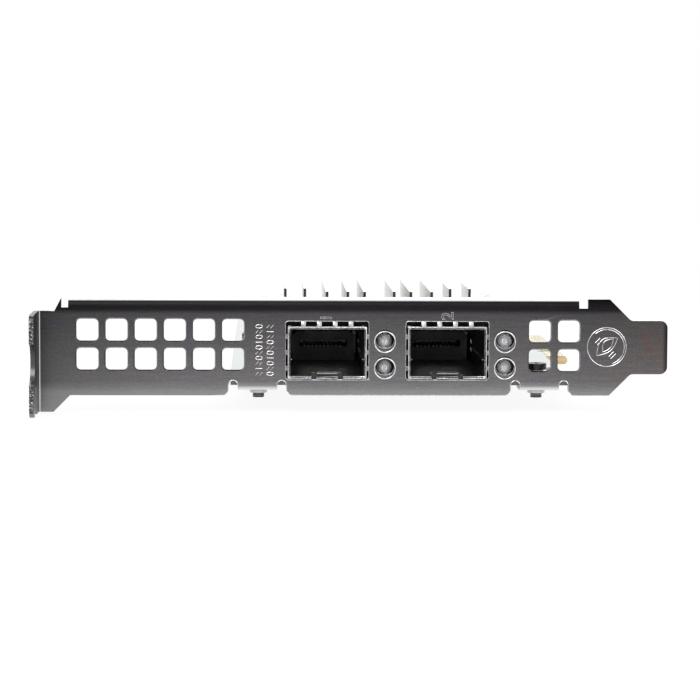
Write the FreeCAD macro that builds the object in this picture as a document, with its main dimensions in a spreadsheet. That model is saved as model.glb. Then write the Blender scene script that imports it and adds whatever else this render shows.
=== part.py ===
"""Dual-port network interface card with a full-height slot bracket.

The frame: X runs from the bracket's screw tab to its tongue, Y runs from the outside of the
bracket into the card, and Z points up from the board's component side. The origin is the axis
of the screw that holds the tab, on the tab's seat face. All lengths are in millimetres.
"""
import FreeCAD, Part
import math
import os
import re
import Sketcher
from FreeCAD import Vector

doc = FreeCAD.newDocument("network_interface_card")

# ---------------------------------------------------------------- driving sizes

SIZES = {
    # folded bracket
    "metal": 0.86,              # thickness of the bracket's sheet
    "slot_to_face": 6.35,       # screw axis to the bracket's outer face
    "slot_below_edge": 17.9,    # screw axis to the bracket's top edge
    "body_width": 18.42,        # bracket's width, from its top edge down
    "tongue_end": 119.16,       # tab seat to the tongue's end
    "tongue_width": 10.19,
    "tongue_drop": 4.08,        # top edge down to the tongue
    "tongue_corner": 1.4,
    "neck_corner": 1.2,         # inner rounding where the tongue meets the body
    "tab_top": 2.45,            # tab's upper side, below the top edge
    "tab_bottom": 21.59,        # tab's lower side, below the top edge
    "tab_reach": 11.43,         # tab's reach in front of the bracket's face
    "tab_bend": 0.45,           # inner radius of the tab's fold
    "tab_corner": 1.6,
    "spike_start": 3.0,         # foot and tip of the slope that ends the root
    "spike_tip": 4.3,
    "root_slope": 5.93,         # where the root's lower slope meets the body
    "slot_width": 4.42,
    "scallop_radius": 3.72,
    "scallop_depth": 3.4,
    "scallop_centre": 11.5,     # below the top edge
    "flange_start": 5.6,
    "flange_end": 102.3,
    "flange_relief": 1.7,       # gap between the flange and the free top edge
    "flange_bend": 1.75,        # outer radius of the top fold
    "flange_depth": 4.0,
    "shoulder_flat": 4.1,       # free top edge before the neck's slope
    # feet of the bracket, folded under the board
    "foot_one": 41.3,
    "foot_two": 94.85,
    "foot_width": 7.5,
    "foot_depth": 7.6,
    "foot_bend": 1.0,
    "foot_corner": 1.2,
    "relief_radius": 0.85,
    "boss_radius": 1.65,
    "boss_drop": 0.75,
    "screw_one": 41.5,
    "screw_two": 94.6,
    "screw_depth": 4.0,         # bracket's face to the screws
    "screw_radius": 1.05,
    "screw_tip": 1.65,          # screw's reach below the foot
    "screw_clearance": 0.02,
    "screw_head_radius": 1.95,
    "screw_head_height": 2.5,
    "screw_recess_depth": 1.0,
    "screw_recess_width": 0.55,
    # openings of the bracket's face
    "vent_size": 4.55,
    "vent_corner": 0.62,
    "vent_pitch": 5.5,
    "vent_drop": 3.73,          # top edge down to the first row
    "left_vents": 6.86,
    "right_vents": 92.6,
    "right_vent_drop": 3.88,
    "port_x": 54.5,
    "port_pitch": 22.79,
    "port_width": 15.8,
    "port_height": 11.1,
    "port_drop": 4.27,
    "port_corner": 0.5,
    "lamp_x": 65.45,
    "lamp_drop": 7.67,
    "lamp_pitch": 5.04,
    "lamp_hole": 3.6,
    # circuit board
    "board_left": 36.2,
    "board_top": 2.9,           # above the screw axis
    "board_gap": 0.55,          # bracket's inner face to the board
    "board_width": 64.4,
    "board_length": 142.0,
    "board_thick": 1.57,
    "board_corner": 1.0,
    "edge_setback": 44.5,       # bracket's face to the edge connector
    "edge_reach": 4.5,
    "edge_corner": 0.5,
    "edge_bevel": 0.45,
    "contact_pitch": 1.0,
    "contact_width": 0.7,
    "contact_length": 3.6,
    "contact_thick": 0.05,
    "contact_margin": 0.475,
    "key_width": 1.9,
    "key_depth": 5.1,
    # cages of the two ports
    "cage_metal": 0.3,
    "cage_inner_width": 14.0,
    "cage_inner_height": 8.9,
    "cage_length": 48.7,
    "cage_fold": 0.45,          # the folds along the cage, as clipped corners
    "cage_proud": 0.6,          # in front of the bracket's face
    "cage_leg_one": 5.0,        # legs along a cage, from its mouth
    "cage_leg_pitch": 18.0,
    "cage_leg": 2.3,
    "cage_leg_width": 0.9,
    "leg_clearance": 0.12,
    "spring_metal": 0.15,
    "spring_width": 0.85,
    "spring_pitch": 3.0,
    "spring_gap": 0.06,         # finger to the rim of the bracket's opening
    "spring_band": 1.1,
    "spring_start": 0.2,
    "spring_landing": 0.8,
    "spring_length": 4.6,
    "latch_notch": 0.95,
    "latch_width": 4.1,
    "latch_length": 9.0,
    "latch_window": 2.6,
    "latch_window_setback": 3.2,
    "cage_vent": 1.1,           # holes in the top, centre to corner
    "cage_vent_pitch": 3.4,
    "cage_vent_row": 6.0,
    "cage_vent_setback": 14.0,
    "side_window": 33.0,        # from the mouth
    "side_window_length": 3.6,
    "side_window_height": 0.8,
    "side_window_low": 2.0,
    "side_window_pitch": 1.6,
    # connectors inside the cages
    "socket_width": 12.4,
    "socket_depth": 9.2,
    "socket_height": 6.0,
    "socket_setback": 35.0,     # cage's mouth to the socket
    "socket_slot_width": 9.6,
    "socket_slot_height": 1.3,
    "socket_slot_level": 2.9,
    "pin_pitch": 0.8,
    "pin_width": 0.32,
    "pin_thick": 0.22,
    "pin_setback": 0.3,
    "pin_lower_reach": 0.8,
    "pin_upper_reach": 1.7,
    # indicator lamps
    "lamp_radius": 1.475,
    "lamp_tip": 0.75,
    "lamp_length": 5.0,
    "lamp_setback": 2.0,        # bracket's face to the lamp's tip
    "lamp_below_hole": 0.55,
    "holder_width": 4.8,
    "holder_setback": 3.2,
    "holder_cover": 1.7,
    "holder_slope": 2.6,        # the slope at the back of its top
    "holder_chamfer": 1.0,
    "holder_clearance": 0.06,
    "lead_thick": 0.5,
    "lead_spread": 2.54,
    "lead_clearance": 0.15,
    "lead_reach": 0.9,          # below the board
    "lead_lower_row": 0.8,      # behind the lamps
    "lead_upper_row": 3.3,
    # controller and heatsink
    "chip_x": 30.45,            # on the board
    "chip_setback": 75.0,       # from the bracket's face
    "chip_size": 25.0,
    "chip_base": 1.0,
    "chip_lid": 1.3,
    "chip_lid_size": 21.0,
    "pad_thick": 0.3,
    "sink_size": 40.0,
    "sink_base": 2.2,
    "fin_height": 7.8,
    "fin_thick": 0.58,
    "fin_one": 16.9,            # fins, from the sink's edge
    "fin_two": 13.4,
    "fin_three": 9.05,
    "fin_four": 4.55,
    "fin_five": 0.4,
    "fin_setback": 9.7,
    "push_pin_inset": 4.5,      # from the sink's edges
    "push_pin_radius": 1.4,
    "push_pin_clearance": 0.15,
    "push_pin_head": 2.6,
    "push_pin_cap": 1.1,
    "push_pin_tip": 2.4,
    "prong_width": 1.0,
    "prong_hook": 0.45,
    "spring_height": 2.4,
    "spring_wire": 0.45,
    "spring_turns": 3.0,
    "coil_radius": 2.05,
    # small parts of the board
    "flash_wide": 5.2,
    "flash_deep": 5.3,
    "flash_high": 1.9,
    "flash_lift": 0.12,
    "flash_lead_pitch": 1.27,
    "flash_lead_width": 0.4,
    "flash_lead_thick": 0.2,
    "flash_lead_reach": 1.3,
    "logic_size": 7.0,
    "logic_high": 0.9,
    "regulator_wide": 5.0,
    "regulator_deep": 6.0,
    "regulator_high": 1.0,
    "inductor_size": 6.6,
    "inductor_high": 3.0,
    "inductor_edge": 0.6,
    "can_radius": 3.1,
    "can_high": 5.6,
    "can_foot": 0.9,
    "can_foot_margin": 0.15,
    "tantalum_wide": 3.5,
    "tantalum_deep": 2.8,
    "tantalum_high": 1.9,
    "array_wide": 3.2,
    "array_deep": 1.6,
    "array_high": 0.9,
    "crystal_wide": 5.0,
    "crystal_deep": 3.2,
    "crystal_tray_high": 0.7,
    "crystal_lid_high": 0.35,
    "crystal_margin": 0.25,
    "moulded_edge": 0.2,
    "passive_long": 1.7,
    "passive_short": 0.9,
    "passive_high": 0.8,
    "bulk_long": 2.2,
    "bulk_short": 1.3,
    "bulk_high": 1.2,
    "resistor_long": 1.6,
    "resistor_short": 0.8,
    "resistor_high": 0.45,
    "passive_ring": 3.5,        # sink's edge to the capacitors round it
    "passive_pitch": 3.4,
    "under_pitch": 4.0,
    "lane_pitch": 2.1,
    "lane_inset": 3.4,
    "resistor_pitch": 1.7,
    "resistor_gap": 6.0,
    "tantalum_gap": 6.5,        # sink's edge to the parts beside it
    "flash_inset": 8.4,         # from the board's right edge
    "can_inset": 7.4,
    "array_row": 13.9,          # behind the bracket's face
}

sheet = doc.addObject("Spreadsheet::Sheet", "Sizes")
for row, (alias, number) in enumerate(SIZES.items(), start=1):
    sheet.set("A%d" % row, alias)
    sheet.set("B%d" % row, str(number))
    sheet.setAlias("B%d" % row, alias)
doc.recompute()


def bound(text):
    """Write an expression of aliases the way other objects have to spell it."""
    return re.sub(r"\b([a-z][a-z_]+)\b",
                  lambda word: "Sizes." + word[1] if word[1] in SIZES else word[1], text)


def size(text):
    """The number that an expression of aliases has now."""
    return float(sheet.evalExpression(bound(text)))


# ---------------------------------------------------------------- sketch and feature helpers

def new_body(label, across="0", into="0", up="0"):
    """A body whose own origin lies at the given place of the card's frame."""
    body = doc.addObject("PartDesign::Body", label)
    body.Label = label
    place(body, across, into, up)
    return body


def place(thing, across="0", into="0", up="0"):
    for axis, text in (("x", across), ("y", into), ("z", up)):
        thing.setExpression("Placement.Base." + axis, bound(text))


def new_sketch(body, name, plane, lift="0"):
    sketch = body.newObject("Sketcher::SketchObject", name)
    planes = {feature.Role: feature for feature in body.Origin.OriginFeatures}
    sketch.AttachmentSupport = [(planes[plane], "")]
    sketch.MapMode = "FlatFace"
    sketch.setExpression("AttachmentOffset.Base.z", bound(lift))
    return sketch


def pin_point(sketch, geometry, point, across, up):
    """Hold a point at a place given by two expressions."""
    for kind, text in (("DistanceX", across), ("DistanceY", up)):
        index = sketch.addConstraint(
            Sketcher.Constraint(kind, -1, 1, geometry, point, size(text)))
        sketch.setExpression("Constraints[%d]" % index, bound(text))


def hold_half_turn(sketch, index, normal, start, end):
    """A half circle's ends already give its radius, so its centre is held between them."""
    kind, place_in = ("DistanceX", 0) if abs(normal.x) > abs(normal.y) else ("DistanceY", 1)
    text = "((%s)+(%s))/2" % (start[place_in], end[place_in])
    number = sketch.addConstraint(Sketcher.Constraint(kind, -1, 1, index, 3, size(text)))
    sketch.setExpression("Constraints[%d]" % number, bound(text))


def outline(sketch, points):
    """Draw a closed outline. A point is (across, up), or (across, up, radius, turn) where the
    stretch that reaches it is an arc that turns left or right."""
    joins = []
    for number, point in enumerate(points):
        before = points[number - 1]
        start = Vector(size(before[0]), size(before[1]), 0)
        end = Vector(size(point[0]), size(point[1]), 0)
        if len(point) == 2:
            index = sketch.addGeometry(Part.LineSegment(start, end), False)
            joins.append((index, 1, 2))
            continue
        radius = size(point[2])
        chord = end - start
        side = 1 if point[3] == "left" else -1
        height = math.sqrt(max(radius ** 2 - (chord.Length / 2) ** 2, 0))
        normal = Vector(-chord.y, chord.x, 0).normalize() * side
        centre = (start + end) * 0.5 + normal * height
        angles = [math.atan2(p.y - centre.y, p.x - centre.x) for p in (start, end)]
        if side < 0:
            angles.reverse()
        circle = Part.Circle(centre, Vector(0, 0, 1), radius)
        index = sketch.addGeometry(Part.ArcOfCircle(circle, *angles), False)
        joins.append((index, 1, 2) if side > 0 else (index, 2, 1))
        if height < 0.001:
            hold_half_turn(sketch, index, normal, before, point)
            continue
        bend = sketch.addConstraint(Sketcher.Constraint("Radius", index, radius))
        sketch.setExpression("Constraints[%d]" % bend, bound(point[2]))
    for number, join in enumerate(joins):
        before = joins[number - 1]
        sketch.addConstraint(
            Sketcher.Constraint("Coincident", before[0], before[2], join[0], join[1]))
        pin_point(sketch, join[0], join[2], points[number][0], points[number][1])


def rectangle(sketch, left, low, right, high):
    outline(sketch, [(left, low), (right, low), (right, high), (left, high)])


def rounded_rectangle(sketch, left, low, right, high, radius):
    inner = {"left": "(%s)+%s" % (left, radius), "right": "(%s)-%s" % (right, radius),
             "low": "(%s)+%s" % (low, radius), "high": "(%s)-%s" % (high, radius)}
    outline(sketch, [
        (inner["right"], low), (right, inner["low"], radius, "left"),
        (right, inner["high"]), (inner["right"], high, radius, "left"),
        (inner["left"], high), (left, inner["high"], radius, "left"),
        (left, inner["low"]), (inner["left"], low, radius, "left")])


def clipped_rectangle(sketch, left, low, right, high, clip):
    """A rectangle with its corners cut off, light enough to be repeated many times."""
    outline(sketch, [
        ("(%s)+%s" % (left, clip), low), ("(%s)-%s" % (right, clip), low),
        (right, "(%s)+%s" % (low, clip)), (right, "(%s)-%s" % (high, clip)),
        ("(%s)-%s" % (right, clip), high), ("(%s)+%s" % (left, clip), high),
        (left, "(%s)-%s" % (high, clip)), (left, "(%s)+%s" % (low, clip))])


def slot(sketch, across, up, half_wide, half_high):
    """A rectangle given by its middle and its half sizes."""
    rectangle(sketch, "(%s)-(%s)" % (across, half_wide), "(%s)-(%s)" % (up, half_high),
              "(%s)+(%s)" % (across, half_wide), "(%s)+(%s)" % (up, half_high))


def hexagon(sketch, across, up, radius):
    """A regular hexagon with a corner on each side of its middle."""
    half, high = "%s/2" % radius, "%s*sqrt(3)/2" % radius
    outline(sketch, [
        (across + "-" + radius, up), (across + "-" + half, up + "-" + high),
        (across + "+" + half, up + "-" + high), (across + "+" + radius, up),
        (across + "+" + half, up + "+" + high), (across + "-" + half, up + "+" + high)])


def circle(sketch, across, up, radius):
    shape = Part.Circle(Vector(size(across), size(up), 0), Vector(0, 0, 1), size(radius))
    index = sketch.addGeometry(shape, False)
    bend = sketch.addConstraint(Sketcher.Constraint("Radius", index, size(radius)))
    sketch.setExpression("Constraints[%d]" % bend, bound(radius))
    pin_point(sketch, index, 3, across, up)


def check_sketch(sketch):
    doc.recompute()
    if "Invalid" in sketch.State:
        raise RuntimeError("%s is not solved: %d" % (sketch.Name, sketch.solve()))


def pad(body, sketch, length, reverse=False, middle=False):
    check_sketch(sketch)
    feature = body.newObject("PartDesign::Pad", sketch.Name + "_pad")
    feature.Profile = sketch
    feature.setExpression("Length", bound(length))
    feature.Reversed = reverse
    feature.Midplane = middle
    doc.recompute()
    return feature


def pocket(body, sketch, length, reverse=False, middle=False):
    """Cut a sketch out of the body, and make sure that it did cut."""
    check_sketch(sketch)
    before = body.Shape.Volume
    feature = body.newObject("PartDesign::Pocket", sketch.Name + "_cut")
    feature.Profile = sketch
    feature.setExpression("Length", bound(length))
    feature.Reversed = reverse
    feature.Midplane = middle
    doc.recompute()
    if body.Shape.Volume >= before:
        raise RuntimeError(feature.Name + " cuts nothing")
    return feature


def pattern(body, feature, sketch, axis, pitch, count):
    """Repeat a feature in a row along an axis of its sketch."""
    row = body.newObject("PartDesign::LinearPattern", feature.Name + "_row")
    row.Originals = [feature]
    row.Direction = (sketch, [axis])
    row.Mode = "Spacing"
    row.setExpression("Offset", bound(pitch))
    row.Occurrences = count
    body.Tip = row
    doc.recompute()
    return row


def straight_edges(shape, axis, places):
    """Names of the straight edges along an axis that pass through the given places, each a
    pair of coordinates in the plane across that axis."""
    across = [i for i in range(3) if i != "XYZ".index(axis)]
    names = []
    for number, edge in enumerate(shape.Edges, start=1):
        ends = [vertex.Point for vertex in edge.Vertexes]
        if len(ends) != 2:
            continue
        for spot in places:
            near = [abs(end[i] - spot[n]) < 0.02 for end in ends for n, i in enumerate(across)]
            if all(near):
                names.append("Edge%d" % number)
                break
    return names


def dress(body, kind, axis, places, amount):
    """Fillet or chamfer the straight edges that run along an axis at the given places."""
    base = body.Tip
    spots = [tuple(size(text) for text in spot) for spot in places]
    names = straight_edges(base.Shape, axis, spots)
    if not names:
        raise RuntimeError("no edge to dress on " + body.Label)
    feature = body.newObject("PartDesign::" + kind, "%s_%s" % (body.Label, kind.lower()))
    feature.Base = (base, names)
    feature.setExpression("Radius" if kind == "Fillet" else "Size", bound(amount))
    doc.recompute()
    return feature


def feature_part(label, shape, across="0", into="0", up="0"):
    """A group of small like pieces, shaped from the sheet's sizes."""
    part = doc.addObject("Part::Feature", label)
    part.Label = label
    part.Shape = shape
    place(part, across, into, up)
    return part


def block(across, into, up, corner=(0, 0, 0)):
    return Part.makeBox(across, into, up, Vector(*corner))


BOARD_Y = "slot_to_face+metal+board_gap"
BOARD_Z = "board_top"
FACE_TO_BOARD = "(metal+board_gap)"
PORTS = {"one": "port_x", "two": "port_x+port_pitch"}
LAMPS = {"one": "lamp_x", "two": "lamp_x+port_pitch"}


# ---------------------------------------------------------------- bracket

def build_bracket():
    """One piece of sheet: face, screw tab, top flange and two feet under the board. Its own
    origin is on the outer face, at the top edge, in line with the tab's seat."""
    body = new_body("bracket", "0", "slot_to_face", "slot_below_edge")
    foot_low = "-(slot_below_edge-board_top+board_thick+metal)"
    foot_fold = "(%s)+foot_bend" % foot_low
    body_low = "-body_width"

    face = new_sketch(body, "face", "XZ_Plane")
    points = [("0", "-tab_top"), ("0", "-tab_bottom"),
              ("root_slope-tab_bottom+body_width", "-tab_bottom"), ("root_slope", body_low)]
    for foot in ("foot_one", "foot_two"):
        left = "%s-foot_width/2" % foot
        right = "%s+foot_width/2" % foot
        points += [(left + "-2*relief_radius", body_low),
                   (left + "-2*relief_radius", foot_fold),
                   (left, foot_fold, "relief_radius", "right"), (right, foot_fold),
                   (right + "+2*relief_radius", foot_fold, "relief_radius", "right"),
                   (right + "+2*relief_radius", body_low)]
    tongue_low = "-tongue_drop-tongue_width"
    free_end = "flange_end+flange_relief"
    shoulder = "flange_end+flange_relief+shoulder_flat"
    points += [(shoulder + "+tongue_drop-body_width+tongue_drop+tongue_width", body_low),
               (shoulder + "+tongue_drop", tongue_low),
               ("tongue_end", tongue_low), ("tongue_end", "-tongue_drop"),
               (shoulder + "+tongue_drop", "-tongue_drop"), (shoulder, "0"),
               (free_end, "0"), (free_end, "-flange_bend"),
               ("spike_tip", "-flange_bend"), ("spike_tip", "0"),
               ("spike_start", "-tab_top")]
    outline(face, points)
    pad(body, face, "metal", reverse=True)

    corners = [("tongue_end", tongue_low), ("tongue_end", "-tongue_drop")]
    dress(body, "Fillet", "Y", corners, "tongue_corner")
    necks = [(shoulder + "+tongue_drop", tongue_low), (shoulder + "+tongue_drop", "-tongue_drop")]
    dress(body, "Fillet", "Y", necks, "neck_corner")
    hips = []
    for foot in ("foot_one", "foot_two"):
        hips += [("%s-foot_width/2-2*relief_radius" % foot, body_low),
                 ("%s+foot_width/2+2*relief_radius" % foot, body_low)]
    dress(body, "Fillet", "Y", hips, "foot_corner")

    # The tab folds towards the outside; its sketch looks along X.
    tab = new_sketch(body, "tab", "YZ_Plane")
    half_chord = "sqrt(scallop_radius^2-(scallop_radius-scallop_depth)^2)"
    slot_end = "-slot_below_edge"
    outline(tab, [
        ("metal", "-tab_top"), ("-tab_reach", "-tab_top"),
        ("-tab_reach", "-scallop_centre+" + half_chord),
        ("-tab_reach", "-scallop_centre-" + half_chord, "scallop_radius", "right"),
        ("-tab_reach", "-tab_bottom"),
        ("-slot_to_face-slot_width/2", "-tab_bottom"),
        ("-slot_to_face-slot_width/2", slot_end),
        ("-slot_to_face+slot_width/2", slot_end, "slot_width/2", "right"),
        ("-slot_to_face+slot_width/2", "-tab_bottom"), ("metal", "-tab_bottom")])
    pad(body, tab, "metal", reverse=True)
    dress(body, "Fillet", "X", [("-tab_reach", "-tab_bottom"), ("-tab_reach", "-tab_top")],
          "tab_corner")
    dress(body, "Fillet", "Z", [("-metal", "metal")], "tab_bend+metal")
    dress(body, "Fillet", "Z", [("0", "0")], "tab_bend")

    # The top flange folds back over the card.
    flange = new_sketch(body, "flange", "YZ_Plane", "flange_start")
    outline(flange, [
        ("flange_bend", "0", "flange_bend", "right"), ("flange_depth", "0"),
        ("flange_depth", "-metal"), ("flange_bend", "-metal"),
        ("metal", "-flange_bend", "flange_bend-metal", "left"), ("0", "-flange_bend")])
    pad(body, flange, "flange_end-flange_start")

    # Two feet fold back under the board, each with a tapped boss.
    for foot in ("foot_one", "foot_two"):
        fold = new_sketch(body, foot + "_fold", "YZ_Plane", foot + "-foot_width/2")
        outline(fold, [
            ("foot_bend", foot_low, "foot_bend", "left"), ("foot_depth", foot_low),
            ("foot_depth", "(%s)+metal" % foot_low), ("foot_bend", "(%s)+metal" % foot_low),
            ("metal", foot_fold, "foot_bend-metal", "right"), ("0", foot_fold)])
        pad(body, fold, "foot_width")
        ends = [("%s-foot_width/2" % foot, "foot_depth"), ("%s+foot_width/2" % foot, "foot_depth")]
        dress(body, "Fillet", "Z", ends, "foot_corner")
    for screw in ("screw_one", "screw_two"):
        boss = new_sketch(body, screw + "_boss", "XY_Plane", foot_low)
        circle(boss, screw, "screw_depth", "boss_radius")
        pad(body, boss, "boss_drop", reverse=True)
        bore = new_sketch(body, screw + "_bore", "XY_Plane", "(%s)+metal" % foot_low)
        circle(bore, screw, "screw_depth", "screw_radius+screw_clearance")
        pocket(body, bore, "metal+boss_drop")

    # Openings of the face.
    for name, left, drop, columns in (("left", "left_vents", "vent_drop", 6),
                                      ("right", "right_vents", "right_vent_drop", 2)):
        vent = new_sketch(body, name + "_vent", "XZ_Plane")
        for high in ("-" + drop, "-%s-vent_pitch" % drop):
            clipped_rectangle(vent, left, high + "-vent_size", left + "+vent_size", high,
                              "vent_corner")
        cut = pocket(body, vent, "metal")
        pattern(body, cut, vent, "H_Axis", "vent_pitch", columns)
    port = new_sketch(body, "port", "XZ_Plane")
    rounded_rectangle(port, "port_x-port_width/2", "-port_drop-port_height",
                      "port_x+port_width/2", "-port_drop", "port_corner")
    cut = pocket(body, port, "metal")
    pattern(body, cut, port, "H_Axis", "port_pitch", 2)
    lamp = new_sketch(body, "lamp", "XZ_Plane")
    for high in ("-lamp_drop", "-lamp_drop-lamp_pitch"):
        circle(lamp, "lamp_x", high, "lamp_hole/2")
    cut = pocket(body, lamp, "metal")
    pattern(body, cut, lamp, "H_Axis", "port_pitch", 2)
    return body


# ---------------------------------------------------------------- circuit board

EDGE_START = "(edge_setback-metal-board_gap)"
FIRST_CONTACTS = 11
SECOND_CONTACTS = 38


def contact_zone(count):
    return "(%d*contact_pitch+contact_width+2*contact_margin)" % (count - 1)


KEY_START = "%s+%s" % (EDGE_START, contact_zone(FIRST_CONTACTS))
EDGE_END = "%s+key_width+%s" % (KEY_START, contact_zone(SECOND_CONTACTS))
LEG_STATIONS = ["cage_leg_one+%d*cage_leg_pitch" % number for number in range(3)]
LEAD_ROWS = {                              # behind the bracket's face
    "lower": "lamp_setback+lamp_length+lead_lower_row",
    "upper": "lamp_setback+lamp_length+lead_upper_row",
}
PIN_REACH = "(sink_size/2-push_pin_inset)"     # from the sink's middle, both ways


def build_board():
    """The board, with its edge connector, in a frame at its front left corner on its top."""
    body = new_body("circuit_board", "board_left", BOARD_Y, BOARD_Z)
    plate = new_sketch(body, "plate", "XY_Plane")
    reach = "board_width+edge_reach"
    key_end = KEY_START + "+key_width"
    key_root = "board_width+edge_reach-key_depth+key_width/2"
    outline(plate, [
        ("0", "0"), ("board_width", "0"), ("board_width", EDGE_START),
        (reach, EDGE_START), (reach, KEY_START), (key_root, KEY_START),
        (key_root, key_end, "key_width/2", "right"), (reach, key_end), (reach, EDGE_END),
        ("board_width", EDGE_END), ("board_width", "board_length"), ("0", "board_length")])
    pad(body, plate, "board_thick", reverse=True)
    dress(body, "Fillet", "Z", [("0", "board_length"), ("board_width", "board_length")],
          "board_corner")
    dress(body, "Chamfer", "Z", [(reach, EDGE_START), (reach, EDGE_END)], "edge_corner")
    dress(body, "Chamfer", "Y", [(reach, "0"), (reach, "-board_thick")], "edge_bevel")

    holes = new_sketch(body, "screw_holes", "XY_Plane")
    for screw in ("screw_one", "screw_two"):
        circle(holes, screw + "-board_left", "screw_depth-" + FACE_TO_BOARD,
               "screw_radius+0.15")
    pocket(body, holes, "board_thick")

    pins = new_sketch(body, "push_pin_holes", "XY_Plane")
    for side, end in (("-", "+"), ("+", "-")):
        circle(pins, "chip_x%s%s" % (side, PIN_REACH),
               "chip_setback-%s%s%s" % (FACE_TO_BOARD, end, PIN_REACH),
               "push_pin_radius+push_pin_clearance")
    pocket(body, pins, "board_thick")

    legs = new_sketch(body, "cage_leg_holes", "XY_Plane")
    for port in PORTS.values():
        for side in ("-", "+"):
            for station in LEG_STATIONS:
                slot(legs, "%s-board_left%s(cage_inner_width+cage_metal)/2" % (port, side),
                     "%s-cage_proud-%s" % (station, FACE_TO_BOARD),
                     "cage_metal/2+leg_clearance", "cage_leg_width/2+leg_clearance")
    pocket(body, legs, "board_thick")

    leads = new_sketch(body, "lamp_lead_holes", "XY_Plane")
    for lamp in LAMPS.values():
        for side in ("-", "+"):
            for row in LEAD_ROWS.values():
                slot(leads, "%s-board_left%slead_spread/2" % (lamp, side),
                     "%s-%s" % (row, FACE_TO_BOARD),
                     "lead_thick/2+lead_clearance", "lead_thick/2+lead_clearance")
    pocket(body, leads, "board_thick")
    return body


def build_contacts(label, level):
    """A row of gold contacts on one side of the edge connector."""
    pieces = []
    starts = [(FIRST_CONTACTS, size(EDGE_START)), (SECOND_CONTACTS, size(KEY_START + "+key_width"))]
    right = size("board_width+edge_reach-edge_bevel") - 0.05
    for count, start in starts:
        for number in range(count):
            into = start + size("contact_margin") + number * size("contact_pitch")
            corner = (right - size("contact_length"), into, 0)
            pieces.append(block(size("contact_length"), size("contact_width"),
                                size("contact_thick"), corner))
    return feature_part(label, Part.makeCompound(pieces), "board_left", BOARD_Y, level)


# ---------------------------------------------------------------- cages and their springs

CAGE_Y = "slot_to_face-cage_proud"
CAGE_HALF = "(cage_inner_width/2+cage_metal)"
CAGE_HIGH = "(cage_inner_height+2*cage_metal)"


def build_cage(name, centre):
    """A folded cage on the board, in a frame at the middle of its mouth, on the board."""
    body = new_body("cage_" + name, centre, CAGE_Y, BOARD_Z)
    shell = new_sketch(body, "shell_" + name, "XZ_Plane")
    clipped_rectangle(shell, "-" + CAGE_HALF, "0", CAGE_HALF, CAGE_HIGH, "cage_fold")
    pad(body, shell, "cage_length", reverse=True)
    inside = new_sketch(body, "inside_" + name, "XZ_Plane")
    rectangle(inside, "-cage_inner_width/2", "cage_metal", "cage_inner_width/2",
              "cage_metal+cage_inner_height")
    pocket(body, inside, "cage_length-cage_metal")

    floor = new_sketch(body, "floor_opening_" + name, "XY_Plane", "cage_metal")
    rectangle(floor, "-socket_width/2-0.3", "socket_setback-1.5",
              "socket_width/2+0.3", "socket_setback+socket_depth+3")
    for side in ("-", "+"):
        near = "%s(latch_width/2)" % side
        far = "%s(latch_width/2+latch_notch)" % side
        ends = (far, near) if side == "-" else (near, far)
        rectangle(floor, ends[0], "0", ends[1], "latch_length")
    rectangle(floor, "-latch_window/2", "latch_window_setback", "latch_window/2",
              "latch_window_setback+latch_window")
    pocket(body, floor, "cage_metal")

    vents = new_sketch(body, "top_vents_" + name, "XY_Plane", CAGE_HIGH)
    for row in range(4):
        hexagon(vents, "-cage_vent_pitch", "cage_vent_setback+%d*cage_vent_row" % row,
                "cage_vent")
    cut = pocket(body, vents, "cage_metal")
    pattern(body, cut, vents, "H_Axis", "cage_vent_pitch", 3)

    windows = new_sketch(body, "side_windows_" + name, "YZ_Plane")
    for step in ("0", "side_window_pitch"):
        low = "side_window_low+" + step
        rectangle(windows, "side_window", low, "side_window+side_window_length",
                  low + "+side_window_height")
    pocket(body, windows, "cage_inner_width+4*cage_metal", middle=True)

    legs = new_sketch(body, "legs_" + name, "XY_Plane", "cage_fold")
    for side in ("-", "+"):
        for station in LEG_STATIONS:
            near = "%scage_inner_width/2" % side
            far = "%s(cage_inner_width/2+cage_metal)" % side
            ends = (far, near) if side == "-" else (near, far)
            rectangle(legs, ends[0], station + "-cage_leg_width/2", ends[1],
                      station + "+cage_leg_width/2")
    pad(body, legs, "cage_leg+cage_fold", reverse=True)
    return body


def build_springs(name, centre):
    """The ring of grounding fingers round a cage's mouth, in the cage's own frame."""
    body = new_body("cage_springs_" + name, centre, CAGE_Y, BOARD_Z)
    ring = new_sketch(body, "ring_" + name, "XZ_Plane")
    wide = "(%s+spring_metal)" % CAGE_HALF
    rectangle(ring, "-" + wide, "-spring_metal", wide, CAGE_HIGH + "+spring_metal")
    clipped_rectangle(ring, "-" + CAGE_HALF, "0", CAGE_HALF, CAGE_HIGH, "cage_fold")
    pad(body, ring, "spring_band", reverse=True)

    top = CAGE_HIGH
    rim = "(slot_below_edge-port_drop-board_top)"
    crest = "%s-spring_gap" % rim
    finger = new_sketch(body, "top_finger_" + name, "YZ_Plane", "-1.5*spring_pitch")
    outline(finger, finger_profile(top, crest))
    first = pad(body, finger, "spring_width", middle=True)
    pattern(body, first, finger, "N_Axis", "spring_pitch", 4)

    crest = "port_width/2-spring_gap"
    for side, sign in (("left", "-"), ("right", "")):
        finger = new_sketch(body, "%s_finger_%s" % (side, name), "XY_Plane",
                            CAGE_HIGH + "/2-spring_pitch")
        profile = finger_profile(CAGE_HALF, crest)
        outline(finger, [("%s(%s)" % (sign, across), into) for into, across in profile])
        first = pad(body, finger, "spring_width", middle=True)
        pattern(body, first, finger, "N_Axis", "spring_pitch", 3)
    return body


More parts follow.
